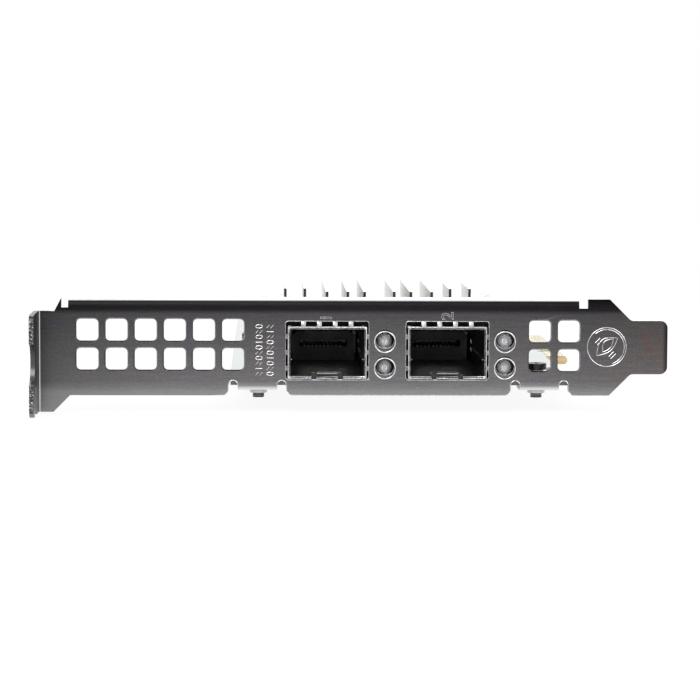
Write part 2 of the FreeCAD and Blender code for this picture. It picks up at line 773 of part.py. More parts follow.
def finger_profile(wall, crest):
    """A strip that leaves the ring, rises to the rim of the opening and lands on the wall.
    Points are (into the card, away from the wall)."""
    return [
        ("spring_start", wall), ("cage_proud", crest), ("cage_proud+metal", crest),
        ("spring_length", wall + "+spring_metal"), ("spring_length", wall),
        ("spring_length-spring_landing", wall), ("cage_proud+metal", crest + "-spring_metal"),
        ("cage_proud+spring_metal", crest + "-spring_metal"), ("2*spring_start", wall)]


# ---------------------------------------------------------------- connectors inside the cages

PIN_COUNT = 10
SOCKET_Y = CAGE_Y + "+socket_setback"


def pin_columns(row):
    """Places across a socket of one row's contacts; the rows are half a pitch apart."""
    shift = -0.25 if row == "lower" else 0.25
    return ["(%g)*pin_pitch" % (number - (PIN_COUNT - 1) / 2 + shift)
            for number in range(PIN_COUNT)]


def pin_level(row):
    """Height of a contact's blade in the socket: on the slot's floor or under its roof."""
    if row == "lower":
        return "socket_slot_level"
    return "socket_slot_level+socket_slot_height-pin_thick"


def build_socket(name, centre):
    """The board's connector in a cage, in a frame at the middle of its foot, at its front."""
    body = new_body("port_socket_" + name, centre, SOCKET_Y, BOARD_Z)
    housing = new_sketch(body, "housing_" + name, "XZ_Plane")
    rectangle(housing, "-socket_width/2", "0", "socket_width/2", "socket_height")
    pad(body, housing, "socket_depth", reverse=True)
    dress(body, "Chamfer", "Y", [("-socket_width/2", "socket_height"),
                                 ("socket_width/2", "socket_height")], "pin_pitch")
    mouth = new_sketch(body, "card_slot_" + name, "XZ_Plane")
    rectangle(mouth, "-socket_slot_width/2", "socket_slot_level", "socket_slot_width/2",
              "socket_slot_level+socket_slot_height")
    pocket(body, mouth, "socket_depth")
    return body


def build_pins(name, centre):
    """The socket's contacts: blades along the slot, which drop to feet behind the socket."""
    pieces = []
    wide, thick = size("pin_width"), size("pin_thick")
    front = size("pin_setback")
    for row, reach in (("lower", "pin_lower_reach"), ("upper", "pin_upper_reach")):
        level = size(pin_level(row))
        back = size("socket_depth") + size(reach)
        for column in pin_columns(row):
            left = size(column) - wide / 2
            blade = block(wide, back - front, thick, (left, front, level))
            drop = block(wide, thick, level + thick, (left, back - thick, 0))
            pieces.append(blade.fuse(drop).removeSplitter())
    return feature_part("port_pins_" + name, Part.makeCompound(pieces), centre, SOCKET_Y, BOARD_Z)


# ---------------------------------------------------------------- indicator lamps

LAMP_LEVELS = {
    "upper": "slot_below_edge-lamp_drop-lamp_below_hole",
    "lower": "slot_below_edge-lamp_drop-lamp_pitch-lamp_below_hole",
}


def build_lamp(name, level):
    """A round lamp that lies along Y, its tip drawn in to a flat at its origin."""
    body = new_body("lamp_%s_%s" % (name, level), LAMPS[name], "slot_to_face+lamp_setback",
                    LAMP_LEVELS[level])
    half = new_sketch(body, "half_%s_%s" % (name, level), "XY_Plane")
    outline(half, [("0", "lamp_length"), ("0", "0"), ("lamp_radius-lamp_tip", "0"),
                   ("lamp_radius", "lamp_tip"), ("lamp_radius", "lamp_length")])
    turn = body.newObject("PartDesign::Revolution", "turn_%s_%s" % (name, level))
    turn.Profile = half
    turn.ReferenceAxis = (half, ["V_Axis"])
    turn.Angle = 360
    doc.recompute()
    return body


HOLDER_DEPTH = "(lamp_setback+lamp_length-holder_setback)"     # as far back as the lamps


def build_holder(name):
    """The upright block that holds two lamps, open behind for their leads."""
    body = new_body("lamp_holder_" + name, LAMPS[name], "slot_to_face+holder_setback", BOARD_Z)
    top = "slot_below_edge-lamp_drop-lamp_below_hole-board_top+lamp_radius+holder_cover"
    side = new_sketch(body, "holder_side_" + name, "YZ_Plane")
    outline(side, [("0", "0"), (HOLDER_DEPTH, "0"),
                   (HOLDER_DEPTH, "(%s)-holder_slope" % top),
                   (HOLDER_DEPTH + "-holder_chamfer", top), ("0", top)])
    pad(body, side, "holder_width", middle=True)
    bores = new_sketch(body, "holder_bores_" + name, "XZ_Plane")
    for level in LAMP_LEVELS.values():
        circle(bores, "0", level + "-board_top", "lamp_radius+holder_clearance")
    pocket(body, bores, HOLDER_DEPTH)
    return body


def build_leads():
    """Two bent leads for each lamp, from its back down through the board."""
    pieces = []
    thick = size("lead_thick")
    back = size("slot_to_face+lamp_setback+lamp_length")
    low = size("board_top-board_thick-lead_reach")
    for lamp in LAMPS.values():
        for level, height in LAMP_LEVELS.items():
            drop = size("slot_to_face+" + LEAD_ROWS[level])
            for side in (-1, 1):
                across = size(lamp) + side * size("lead_spread") / 2 - thick / 2
                high = size(height)
                run = block(thick, drop + thick / 2 - back, thick, (across, back, high - thick / 2))
                leg = block(thick, thick, high + thick / 2 - low, (across, drop - thick / 2, low))
                pieces.append(run.fuse(leg).removeSplitter())
    return feature_part("lamp_leads", Part.makeCompound(pieces))


# ---------------------------------------------------------------- controller and heatsink

CHIP_X = "board_left+chip_x"
CHIP_Y = "slot_to_face+chip_setback"
SINK_FOOT = "chip_base+chip_lid+pad_thick"


def square(body, name, side, length, lift="0"):
    sketch = new_sketch(body, name, "XY_Plane", lift)
    rectangle(sketch, "-%s/2" % side, "-%s/2" % side, "%s/2" % side, "%s/2" % side)
    return pad(body, sketch, length)


def build_chip():
    body = new_body("controller_chip", CHIP_X, CHIP_Y, BOARD_Z)
    square(body, "chip_base_plate", "chip_size", "chip_base")
    square(body, "chip_lid_plate", "chip_lid_size", "chip_lid", "chip_base")
    return body


def build_thermal_pad():
    body = new_body("thermal_pad", CHIP_X, CHIP_Y, BOARD_Z + "+chip_base+chip_lid")
    square(body, "pad_plate", "chip_lid_size", "pad_thick")
    return body


def build_heatsink():
    """An extruded heatsink with ten fins, its outer fins cut back for the push pins."""
    body = new_body("heatsink", CHIP_X, CHIP_Y, "%s+%s" % (BOARD_Z, SINK_FOOT))
    square(body, "sink_plate", "sink_size", "sink_base")
    corner = "sink_size/2"
    dress(body, "Chamfer", "Z", [("-" + corner, "-" + corner), (corner, "-" + corner),
                                 ("-" + corner, corner), (corner, corner)], "fin_thick")
    fins = new_sketch(body, "fins", "XY_Plane", "sink_base")
    for fin in ("fin_one", "fin_two", "fin_three", "fin_four", "fin_five"):
        cut = "fin_setback" if fin in ("fin_four", "fin_five") else "0"
        for side in ("-", ""):
            slot(fins, "%s(sink_size/2-%s)" % (side, fin), "0", "fin_thick/2",
                 "sink_size/2-%s" % cut)
    pad(body, fins, "fin_height")
    holes = new_sketch(body, "sink_holes", "XY_Plane", "sink_base")
    for across, into in (("-", ""), ("", "-")):
        circle(holes, across + PIN_REACH, into + PIN_REACH,
               "push_pin_radius+push_pin_clearance")
    pocket(body, holes, "sink_base")
    return body


def pin_places():
    reach = size(PIN_REACH)
    return [Vector(-reach, reach, 0), Vector(reach, -reach, 0)]


def build_push_pins():
    """Nylon push pins: a cap over the spring, a shaft through sink and board, and two hooked
    prongs that spring open under the board."""
    radius, head = size("push_pin_radius"), size("push_pin_head")
    cap = size(SINK_FOOT + "+sink_base+spring_height")
    under = -size("board_thick")
    wide, tip = size("prong_width"), size("push_pin_tip")
    hook = radius + size("push_pin_clearance+prong_hook")
    shaft = Part.makeCylinder(radius, cap - under, Vector(0, 0, under))
    top = Part.makeCylinder(head, size("push_pin_cap"), Vector(0, 0, cap))
    pin = shaft.fuse(top)
    for side in (-1, 1):
        prong = [(wide / 2, under), (hook, under), (radius - wide / 2, under - tip),
                 (wide / 2, under - tip)]
        wire = Part.makePolygon([Vector(side * x, -wide, z) for x, z in prong + prong[:1]])
        pin = pin.fuse(Part.Face(wire).extrude(Vector(0, 2 * wide, 0)))
    pieces = [pin.removeSplitter().translated(spot) for spot in pin_places()]
    return feature_part("heatsink_pins", Part.makeCompound(pieces), CHIP_X, CHIP_Y, BOARD_Z)


COIL_STEPS = 8                             # straight runs in a turn of a coil spring


def build_coil_springs():
    """The springs under the pins' caps: hexagonal sections of the wire, lofted up a helix."""
    wire = size("spring_wire") / 2
    radius = size("coil_radius")
    rise = size("spring_height") - 2 * wire
    count = round(COIL_STEPS * size("spring_turns"))
    sections = []
    for number in range(count + 1):
        turn = 2 * math.pi * number / COIL_STEPS
        points = []
        for corner in range(7):
            angle = math.pi * corner / 3
            out = radius + wire * math.cos(angle)
            points.append(Vector(out * math.cos(turn), out * math.sin(turn),
                                 wire + rise * number / count + wire * math.sin(angle)))
        sections.append(Part.makePolygon(points))
    coil = Part.makeLoft(sections, True, True)
    pieces = [coil.translated(spot) for spot in pin_places()]
    level = "%s+%s+sink_base" % (BOARD_Z, SINK_FOOT)
    return feature_part("heatsink_springs", Part.makeCompound(pieces), CHIP_X, CHIP_Y, level)


# ---------------------------------------------------------------- screws

def build_screws():
    """Two cheese-head screws through the board into the bosses of the bracket's feet."""
    radius, head = size("screw_radius"), size("screw_head_radius")
    high = size("screw_head_height")
    under = size("board_thick+metal+screw_tip")
    one = Part.makeCylinder(head, high)
    one = one.fuse(Part.makeCylinder(radius, under, Vector(0, 0, -under))).removeSplitter()
    deep, narrow = size("screw_recess_depth"), size("screw_recess_width")
    for long, wide in ((head, narrow), (narrow, head)):
        one = one.cut(block(long, wide, deep, (-long / 2, -wide / 2, high - deep)))
    depth = size("slot_to_face+screw_depth")
    pieces = [one.translated(Vector(size(screw), depth, size("board_top")))
              for screw in ("screw_one", "screw_two")]
    return feature_part("bracket_screws", Part.makeCompound(pieces))


# ---------------------------------------------------------------- small parts of the board

SINK_LEFT = "(chip_x-sink_size/2)"
SINK_RIGHT = "(chip_x+sink_size/2)"
SINK_BACK = "(chip_setback-%s+sink_size/2)" % FACE_TO_BOARD
CHIP_ROW = "(chip_setback-%s)" % FACE_TO_BOARD


def behind_sink(*places):
    """Spots told by their distance across from the controller and behind the heatsink."""
    return [("chip_x+(%g)" % across, "%s+(%g)" % (SINK_BACK, into)) for across, into in places]


def along_edge(inset, *places):
    """Spots at an inset from the board's right edge, told by their distance behind the sink."""
    return [("board_width-" + inset, "%s+(%g)" % (SINK_BACK, into)) for into in places]


FLASH_SPOTS = along_edge("flash_inset", 10.6, 18.6)
LOGIC_SPOTS = behind_sink((-16.5, 18.6), (9.6, 36.6))
REGULATOR_SPOTS = behind_sink((-12.5, 8.6), (0.6, 32.6), (8.1, 10.6))
INDUCTOR_SPOTS = behind_sink((-22.9, 8.6), (-9.0, 32.6), (-2.4, 10.6))
CAN_SPOTS = behind_sink((-21.4, 36.6)) + along_edge("can_inset", 33.6, 41.6)
TANTALUM_SPOTS = [(SINK_LEFT + "-tantalum_gap", CHIP_ROW + "-1.5*passive_pitch"),
                  (SINK_LEFT + "-tantalum_gap", CHIP_ROW + "+0.5*passive_pitch"),
                  (SINK_RIGHT + "+tantalum_gap", CHIP_ROW + "-sink_size/2-tantalum_deep/2")]
ARRAY_SPOTS = [("board_width-%s" % inset, "array_row-" + FACE_TO_BOARD)
               for inset in ("2*array_wide", "array_wide")]
CRYSTAL_SPOT = (SINK_LEFT + "-tantalum_gap", SINK_BACK + "-crystal_deep/2")


def on_board(label, pieces):
    """A group of parts that stand on the board, placed from its front left corner."""
    return feature_part(label, Part.makeCompound(pieces), "board_left", BOARD_Y, BOARD_Z)


def chip_block(spot, wide, deep, high, lift="0"):
    """A block that stands with its middle at a spot; all its sizes are expressions."""
    across, into, up = size(wide), size(deep), size(high)
    return block(across, into, up, (size(spot[0]) - across / 2, size(spot[1]) - into / 2,
                                    size(lift)))


def softened(solid, amount):
    """Chamfer the edges round the top of a block."""
    picked = [edge for edge in solid.Edges
              if max(v.Point.z for v in edge.Vertexes) > solid.BoundBox.ZMax - 0.01]
    return solid.makeChamfer(size(amount), picked)


def build_moulded(label, spots, wide, deep, high, edge="moulded_edge", lift="0"):
    """A group of like moulded parts."""
    on_board(label, [softened(chip_block(spot, wide, deep, high, lift), edge) for spot in spots])


def build_small_parts():
    build_moulded("flash_memory", FLASH_SPOTS, "flash_wide", "flash_deep",
                  "flash_high-flash_lift", "moulded_edge", "flash_lift")
    build_moulded("logic_chips", LOGIC_SPOTS, "logic_size", "logic_size", "logic_high")
    build_moulded("regulator_chips", REGULATOR_SPOTS, "regulator_wide", "regulator_deep",
                  "regulator_high")
    build_moulded("power_inductors", INDUCTOR_SPOTS, "inductor_size", "inductor_size",
                  "inductor_high", "inductor_edge")
    build_moulded("tantalum_capacitors", TANTALUM_SPOTS, "tantalum_wide", "tantalum_deep",
                  "tantalum_high")
    build_moulded("front_arrays", ARRAY_SPOTS, "array_wide", "array_deep", "array_high")
    build_flash_leads()
    build_can_capacitors()
    build_moulded("crystal_tray", [CRYSTAL_SPOT], "crystal_wide", "crystal_deep",
                  "crystal_tray_high")
    build_moulded("crystal_lid", [CRYSTAL_SPOT], "crystal_wide-2*crystal_margin",
                  "crystal_deep-2*crystal_margin", "crystal_lid_high", "crystal_lid_high/3",
                  "crystal_tray_high")
    build_passives()


def build_flash_leads():
    """Gull-wing leads, four on each side of each memory."""
    thick, wide = size("flash_lead_thick"), size("flash_lead_width")
    high, reach = size("flash_high/2"), size("flash_lead_reach")
    pieces = []
    for spot in FLASH_SPOTS:
        for side in (-1, 1):
            for number in range(4):
                into = size(spot[1]) + (number - 1.5) * size("flash_lead_pitch")
                out = size(spot[0]) + side * size("flash_wide/2")
                steps = [(0, high), (thick * 2, high), (reach, thick), (reach, 0),
                         (thick * 2, 0), (0, high - thick)]
                wire = Part.makePolygon([Vector(out + side * a, into - wide / 2, z)
                                         for a, z in steps + steps[:1]])
                pieces.append(Part.Face(wire).extrude(Vector(0, wide, 0)))
    on_board("flash_leads", pieces)


def build_can_capacitors():
    """Polymer capacitors: a square foot under a round can."""
    build_moulded("capacitor_feet", CAN_SPOTS, "2*(can_radius+can_foot_margin)",
                  "2*(can_radius+can_foot_margin)", "can_foot", "can_foot_margin")
    cans = [Part.makeCylinder(size("can_radius"), size("can_high"),
                              Vector(size(spot[0]), size(spot[1]), size("can_foot")))
            for spot in CAN_SPOTS]
    on_board("capacitor_cans", cans)


def build_passives():
    """Rows of small ceramic capacitors and resistors round the controller and the sockets."""
    ring = "(sink_size/2+passive_ring)"
    across = ("passive_short", "passive_long", "passive_high")
    along = ("passive_long", "passive_short", "passive_high")
    capacitors = []
    for number in range(8):
        step = "(%g)*passive_pitch" % (number - 3.5)
        capacitors.append(chip_block(("chip_x+" + step, "%s+%s" % (CHIP_ROW, ring)), *across))
        if number % 2:
            for side in ("-", "+"):
                spot = ("chip_x%s%s" % (side, ring), "%s+%s" % (CHIP_ROW, step))
                capacitors.append(chip_block(spot, *along))
    for number in range(16):
        spot = ("board_width-lane_inset", "%s+(%d+2)*lane_pitch" % (KEY_START, number))
        capacitors.append(chip_block(spot, *along))
    for spot in REGULATOR_SPOTS:
        for side in ("-", "+"):
            beside = ("%s%s(bulk_short+0.1)" % (spot[0], side),
                      "%s+regulator_deep/2+bulk_long" % spot[1])
            capacitors.append(chip_block(beside, "bulk_short", "bulk_long", "bulk_high"))
    on_board("ceramic_capacitors", capacitors)
    film = ("resistor_short", "resistor_long", "resistor_high")
    resistors = []
    for spot in LOGIC_SPOTS:
        for number in range(5):
            resistors.append(chip_block(("%s+(%d)*resistor_pitch" % (spot[0], number - 2),
                                         spot[1] + "+resistor_gap"), *film))
    for port in PORTS.values():
        for number in range(4):
            resistors.append(chip_block(
                ("%s-board_left+(%g)*resistor_pitch" % (port, number - 1.5),
                 "cage_length+resistor_long+resistor_short-cage_proud-" + FACE_TO_BOARD), *film))
    on_board("chip_resistors", resistors)
    under = []
    for row in range(3):
        for column in range(4):
            spot = ("chip_x+(%g)*under_pitch" % (column - 1.5),
                    "%s+(%d)*under_pitch" % (CHIP_ROW, row - 1))
            under.append(chip_block(spot, *along, "-board_thick-passive_high"))
    on_board("underside_capacitors", under)


# ---------------------------------------------------------------- build, check and write

build_bracket()
build_board()
build_contacts("edge_contacts_component_side", "board_top")
build_contacts("edge_contacts_solder_side", "board_top-board_thick-contact_thick")
for port_name, port_centre in PORTS.items():
    build_cage(port_name, port_centre)
    build_springs(port_name, port_centre)
    build_socket(port_name, port_centre)
    build_pins(port_name, port_centre)
for lamp_name in LAMPS:
    build_holder(lamp_name)
    for lamp_level in LAMP_LEVELS:
        build_lamp(lamp_name, lamp_level)
build_leads()
build_chip()
build_thermal_pad()
build_heatsink()
build_push_pins()
build_coil_springs()
build_screws()
build_small_parts()
doc.recompute()

for thing in doc.Objects:
    if "Invalid" in thing.State or "Error" in thing.State:
        raise RuntimeError("%s failed: %s" % (thing.Label, thing.State))

SUB_PARTS = [thing for thing in doc.Objects
             if thing.TypeId in ("PartDesign::Body", "Part::Feature")]
for part in SUB_PARTS:
    if part.Shape.isNull() or not part.Shape.isValid() or not part.Shape.Solids:
        raise RuntimeError(part.Label + " has no valid shape")

os.makedirs("parts", exist_ok=True)
for part in SUB_PARTS:
    part.Shape.exportStep("parts/%s.step" % part.Label)
    print("%-30s solids %3d  volume %9.2f" % (
        part.Label, len(part.Shape.Solids), part.Shape.Volume))
print(len(SUB_PARTS), "sub-parts")
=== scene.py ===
# %% [markdown]
# # A dual-port network card, seen from its bracket
#
# The card is a printed circuit board held by a folded steel bracket. The bracket is what a
# person sees from outside the server: a long narrow face with two cages for plug-in modules,
# four lamps, vents and stamped marks. The CAD model has already fixed every size, so this lesson
# loads it as a frame, gives each part its finish and models what a closer look would show.

# %% Load the frame
import bpy
import bmesh
import math
from contextlib import contextmanager
from mathutils import Matrix, Quaternion, Vector


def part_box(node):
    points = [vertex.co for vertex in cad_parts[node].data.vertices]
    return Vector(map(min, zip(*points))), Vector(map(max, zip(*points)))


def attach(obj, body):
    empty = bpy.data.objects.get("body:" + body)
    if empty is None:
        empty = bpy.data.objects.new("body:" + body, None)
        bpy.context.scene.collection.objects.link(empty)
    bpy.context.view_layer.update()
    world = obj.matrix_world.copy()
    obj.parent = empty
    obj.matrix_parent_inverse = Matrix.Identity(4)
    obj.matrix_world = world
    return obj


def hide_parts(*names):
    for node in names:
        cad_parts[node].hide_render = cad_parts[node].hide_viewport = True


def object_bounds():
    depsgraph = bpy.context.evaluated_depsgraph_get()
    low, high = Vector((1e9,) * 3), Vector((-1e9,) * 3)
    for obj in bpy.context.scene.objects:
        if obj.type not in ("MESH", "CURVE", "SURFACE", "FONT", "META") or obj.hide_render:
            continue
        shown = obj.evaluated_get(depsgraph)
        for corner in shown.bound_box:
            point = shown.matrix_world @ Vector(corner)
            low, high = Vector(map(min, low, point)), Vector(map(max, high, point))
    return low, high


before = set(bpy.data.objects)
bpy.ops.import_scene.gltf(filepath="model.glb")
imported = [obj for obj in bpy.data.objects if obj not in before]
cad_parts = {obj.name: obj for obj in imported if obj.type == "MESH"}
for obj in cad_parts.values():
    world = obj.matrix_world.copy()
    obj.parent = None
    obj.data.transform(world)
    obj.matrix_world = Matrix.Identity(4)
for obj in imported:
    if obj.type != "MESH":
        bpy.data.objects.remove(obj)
cad_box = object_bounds()
MM = 0.001
scene = bpy.context.scene


def mm(*lengths):
    return tuple(length * MM for length in lengths)


print("nodes:", len(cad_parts), "card from", cad_box[0], "to", cad_box[1])


# %% [markdown]
# ## Places that the whole lesson measures from
#
# The bracket's face, its top edge and the board's top are used again and again, so they get
# names here.

# %% Read the places from the frame
bracket_low, bracket_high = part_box("bracket")
board_low, board_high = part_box("circuit_board")
TOP_EDGE = bracket_high.z
SHEET = 0.86 * MM
FACE = 6.35 * MM
BOARD_TOP = board_high.z
MERGE = 0.002 * MM
print("face at", FACE, "top edge at", TOP_EDGE, "board top at", BOARD_TOP)


# %% [markdown]
# ## Stage
#
# The card lies on a plain white table in front of a white world. Both are white to the camera
# and in reflections, through the Light Path node, while the light that falls on the card stays
# at a plain level.

# %% A shader node, and a material to start from
def rgba(colour):
    """Four numbers for a colour of three or one gray number; an output stays as it is."""
    if isinstance(colour, (int, float)):
        colour = (colour, colour, colour)
    return (*colour, 1) if isinstance(colour, tuple) else colour


def paint(name, colour, metal, rough, others=None):
    """A material of one colour, metal share and roughness; others are more inputs by name."""
    material = bpy.data.materials.new(name)
    material.use_nodes = True
    shader = material.node_tree.nodes["Principled BSDF"]
    values = {"Base Color": rgba(colour), "Metallic": metal, "Roughness": rough}
    for socket, value in {**values, **(others or {})}.items():
        shader.inputs[socket].default_value = value
    return material


def put(owner, kind, inputs=None, **settings):
    """A new node of a material or world; an input is a value or another node's output."""
    tree = owner.node_tree
    made = tree.nodes.new("ShaderNode" + kind)
    for name, value in settings.items():
        setattr(made, name, value)
    for socket, value in (inputs or {}).items():
        if isinstance(value, bpy.types.NodeSocket):
            tree.links.new(value, made.inputs[socket])
        else:
            made.inputs[socket].default_value = value
    return made


def any_ray(owner, *kinds):
    """1 for the kinds of ray named, 0 for the others."""
    rays = put(owner, "LightPath")
    share = rays.outputs[kinds[0]]
    for kind in kinds[1:]:
        share = put(owner, "Math", {0: share, 1: rays.outputs[kind]},
                    operation="MAXIMUM").outputs[0]
    return share


print("node tools ready")


# %% World
def white_world():
    world = bpy.data.worlds.new("white_room")
    scene.world = world
    world.use_nodes = True
    world.node_tree.nodes.clear()
    room = put(world, "Background", {"Color": (0.93, 0.95, 1.0, 1), "Strength": 0.55})
    seen = put(world, "Background", {"Color": (1, 1, 1, 1), "Strength": 1.0})
    share = any_ray(world, "Is Camera Ray", "Is Glossy Ray", "Is Transmission Ray")
    mix = put(world, "MixShader", {0: share, 1: room.outputs[0], 2: seen.outputs[0]})
    put(world, "OutputWorld", {"Surface": mix.outputs[0]})
    return world


white_world()
print("world:", scene.world.name)


# %% Floor
def white_floor(level, reach):
    bpy.ops.mesh.primitive_plane_add(size=2 * reach, location=(0.06, 0.05, level))
    floor = bpy.context.object
    floor.name = "floor"
    material = paint("floor_white", 0.9, 0.0, 0.8)
    nodes = material.node_tree.nodes
    glow = put(material, "Emission", {"Strength": 1.0})
    away = put(material, "VectorMath", {0: put(material, "TexCoord").outputs["Object"]},
               operation="LENGTH")
    fade = put(material, "MapRange", {"Value": away.outputs["Value"], "From Min": 0.1,
                                      "From Max": 0.4, "To Min": 0.92, "To Max": 1.0})
    share = put(material, "Math", {0: any_ray(material, "Is Camera Ray", "Is Glossy Ray"),
                                   1: fade.outputs[0]}, operation="MULTIPLY")
    table = nodes["Principled BSDF"].outputs[0]
    mix = put(material, "MixShader", {0: share.outputs[0], 1: table, 2: glow.outputs[0]})
    material.node_tree.links.new(mix.outputs[0], nodes["Material Output"].inputs["Surface"])
    floor.data.materials.append(material)
    return floor


white_floor(cad_box[0].z - 0.02 * MM, 6.0)
print("floor at", cad_box[0].z)


# %% Lamps of the studio
def soft_light(name, place, aim, width, height, power):
    light = bpy.data.lights.new(name, "AREA")
    light.shape = "RECTANGLE"
    light.size = width
    light.size_y = height
    light.energy = power
    lamp = bpy.data.objects.new(name, light)
    scene.collection.objects.link(lamp)
    lamp.location = place
    lamp.rotation_euler = (Vector(aim) - Vector(place)).to_track_quat("-Z", "Y").to_euler()
    return lamp


MIDDLE = (cad_box[0] + cad_box[1]) / 2
soft_light("key", (-0.25, -0.45, 0.65), MIDDLE, 0.6, 0.5, 5.0)
soft_light("fill", (0.55, -0.35, 0.40), MIDDLE, 0.5, 0.5, 2.6)
soft_light("back", (0.1, 0.75, 0.60), MIDDLE, 0.7, 0.5, 4.0)
print("three soft lights aimed at", MIDDLE)


# %% [markdown]
# ## Camera
#
# A long lens half a metre away looks almost straight at the bracket's face, from a little above
# it and slightly towards the screw tab, so that the port cages show their floors and right walls.

# %% Camera
STAND, ASIDE, ABOVE = mm(520, -16.3, 46.5)
AIM_ASIDE, AIM_HEIGHT = mm(-0.33, 8.16)
ROLL = math.radians(0.27)


def card_camera():
    camera = bpy.data.objects.new("camera", bpy.data.cameras.new("camera"))
    scene.collection.objects.link(camera)
    scene.camera = camera
    middle = Vector(((bracket_low.x + bracket_high.x) / 2 + AIM_ASIDE, FACE, AIM_HEIGHT))
    camera.location = middle + Vector((ASIDE, -STAND, ABOVE))
    aim = (middle - camera.location).to_track_quat("-Z", "Y")
    camera.rotation_euler = (aim @ Quaternion((0, 0, 1), ROLL)).to_euler()
    camera.data.lens = 141.85
    camera.data.sensor_width = 36
    camera.data.clip_start = 0.02
    camera.data.clip_end = 30
    return camera


card_camera()
scene.view_settings.view_transform = "Standard"
print("camera at", scene.camera.location)


# %% [markdown]
# ## Tools of the lesson
#
# Most pieces start as a copy of a CAD node, because the CAD model already has the right form.
# A CAD mesh is made of loose triangles, so the copy is merged and its flat faces are joined
# before anything is bevelled. Real sheet, moulded and sawn parts have no sharp edges, and the
# thin bright line on a bevel is what tells the eye which of these it sees.

# %% Selecting and entering edit mode
def only(piece):
    bpy.ops.object.select_all(action="DESELECT")
    piece.select_set(True)
    bpy.context.view_layer.objects.active = piece


def coat(piece, *materials):
    for material in materials:
        piece.data.materials.append(material)
    return piece


@contextmanager
def editing(piece, action="SELECT", mode=None):
    """Edit mode for one piece, which starts with all or nothing of it selected."""
    only(piece)
    bpy.ops.object.mode_set(mode="EDIT")
    bpy.ops.mesh.select_all(action=action)
    if mode:
        bpy.ops.mesh.select_mode(type=mode)
    yield
    bpy.ops.object.mode_set(mode="OBJECT")


def select_where(piece, elements, rule):
    """In edit mode, select the verts, edges or faces for which a rule is true; how many."""
    shape = bmesh.from_edit_mesh(piece.data)
    found = [element for element in getattr(shape, elements) if rule(element)]
    for element in found:
        element.select_set(True)
    bmesh.update_edit_mesh(piece.data)
    return len(found)


def cut_across(axis, *levels):
    """In edit mode, cut the piece by planes across an axis."""
    across = Vector([float(name == axis) for name in "XYZ"])
    for level in levels:
        bpy.ops.mesh.select_all(action="SELECT")
        bpy.ops.mesh.bisect(plane_co=level * across, plane_no=across)


def tidy(piece, cut):
    """Merge a copied CAD mesh and join its flat triangles into whole faces. With cut, faces
    that have many openings are cut into even triangles again, so that a bevel keeps them."""
    only(piece)
    bpy.ops.mesh.customdata_custom_splitnormals_clear()
    with editing(piece):
        bpy.ops.mesh.remove_doubles(threshold=MERGE)
        bpy.ops.mesh.dissolve_limited(angle_limit=math.radians(1))
        if cut:
            bpy.ops.mesh.quads_convert_to_tris(quad_method="BEAUTY", ngon_method="BEAUTY")


def copy_of(node, name, cut=False):
    """A merged copy of a CAD node, which stands for that node."""
    piece = bpy.data.objects.new(name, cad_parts[node].data.copy())
    scene.collection.objects.link(piece)
    piece.data.materials.clear()
    tidy(piece, cut)
    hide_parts(node)
    return piece


def apply_all(piece):
    only(piece)
    for modifier in list(piece.modifiers):
        bpy.ops.object.modifier_apply(modifier=modifier.name)


def bevel(piece, width, segments=2, angle=30, rim=None, clamp=False):
    """Round the sharp edges; rim is the material slot that the new faces get."""
    work = piece.modifiers.new("edge", "BEVEL")
    work.width = width
    work.segments = segments
    work.limit_method = "ANGLE"
    work.angle_limit = math.radians(angle)
    work.use_clamp_overlap = clamp
    work.miter_outer = "MITER_ARC" if segments > 1 else "MITER_SHARP"
    if rim is not None:
        work.material = rim
    apply_all(piece)


def smooth(piece, angle=35, weighted=False):
    """Smooth shading below an angle; weighted keeps large flat faces flat beside a bevel."""
    only(piece)
    bpy.ops.object.shade_smooth_by_angle(angle=math.radians(angle))
    if weighted:
        work = piece.modifiers.new("flat_faces", "WEIGHTED_NORMAL")
        work.keep_sharp = True
        apply_all(piece)


def ready(piece, slot, *materials):
    """Give a finished piece its materials and its body; slot is not used."""
    coat(piece, *materials)
    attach(piece, "root")
    print(piece.name, "faces:", len(piece.data.polygons))
    return piece


def islands(node):
    """The boxes of the separate solids of a CAD node, as pairs of corners."""
    shape = bmesh.new()
    shape.from_mesh(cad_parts[node].data)
    bmesh.ops.remove_doubles(shape, verts=shape.verts, dist=MERGE)
    waiting = set(shape.verts)
    boxes = []
    while waiting:
        group = [waiting.pop()]
        low, high = group[0].co.copy(), group[0].co.copy()
        while group:
            vertex = group.pop()
            low = Vector(map(min, low, vertex.co))
            high = Vector(map(max, high, vertex.co))
            for edge in vertex.link_edges:
                other = edge.other_vert(vertex)
                if other in waiting:
                    waiting.remove(other)
                    group.append(other)
        boxes.append((low, high))
    shape.free()
    return sorted(boxes, key=lambda box: tuple(round(value, 5) for value in box[0]))


print("solids in the ceramic capacitors:", len(islands("ceramic_capacitors")))


# %% [markdown]
# ## Finishes
#
# Every finish is a small node tree that reads Object coordinates, so it keeps its scale in
# millimetres on every piece. `paint` starts one from a colour, a metal share and a roughness.
# `cloud` is a noise with its own stretch, `blend` mixes two colours by it, and `relief` turns it
# into fine bump.

# %% The building blocks of a finish
def stretched(material, per_mm):
    """The place on the piece, counted so many times a millimetre: one number or X, Y and Z."""
    if isinstance(per_mm, (int, float)):
        per_mm = (per_mm, per_mm, per_mm)
    place = put(material, "TexCoord").outputs["Object"]
    scale = [value / MM for value in per_mm]
    return put(material, "Mapping", {"Vector": place, "Scale": scale}).outputs[0]


def cloud(material, per_mm, detail=4.0, rough=0.6):
    """Noise with so many changes a millimetre."""
    noise = put(material, "TexNoise", {"Vector": stretched(material, per_mm), "Scale": 1.0,
                                       "Detail": detail, "Roughness": rough})
    return noise.outputs["Fac"]


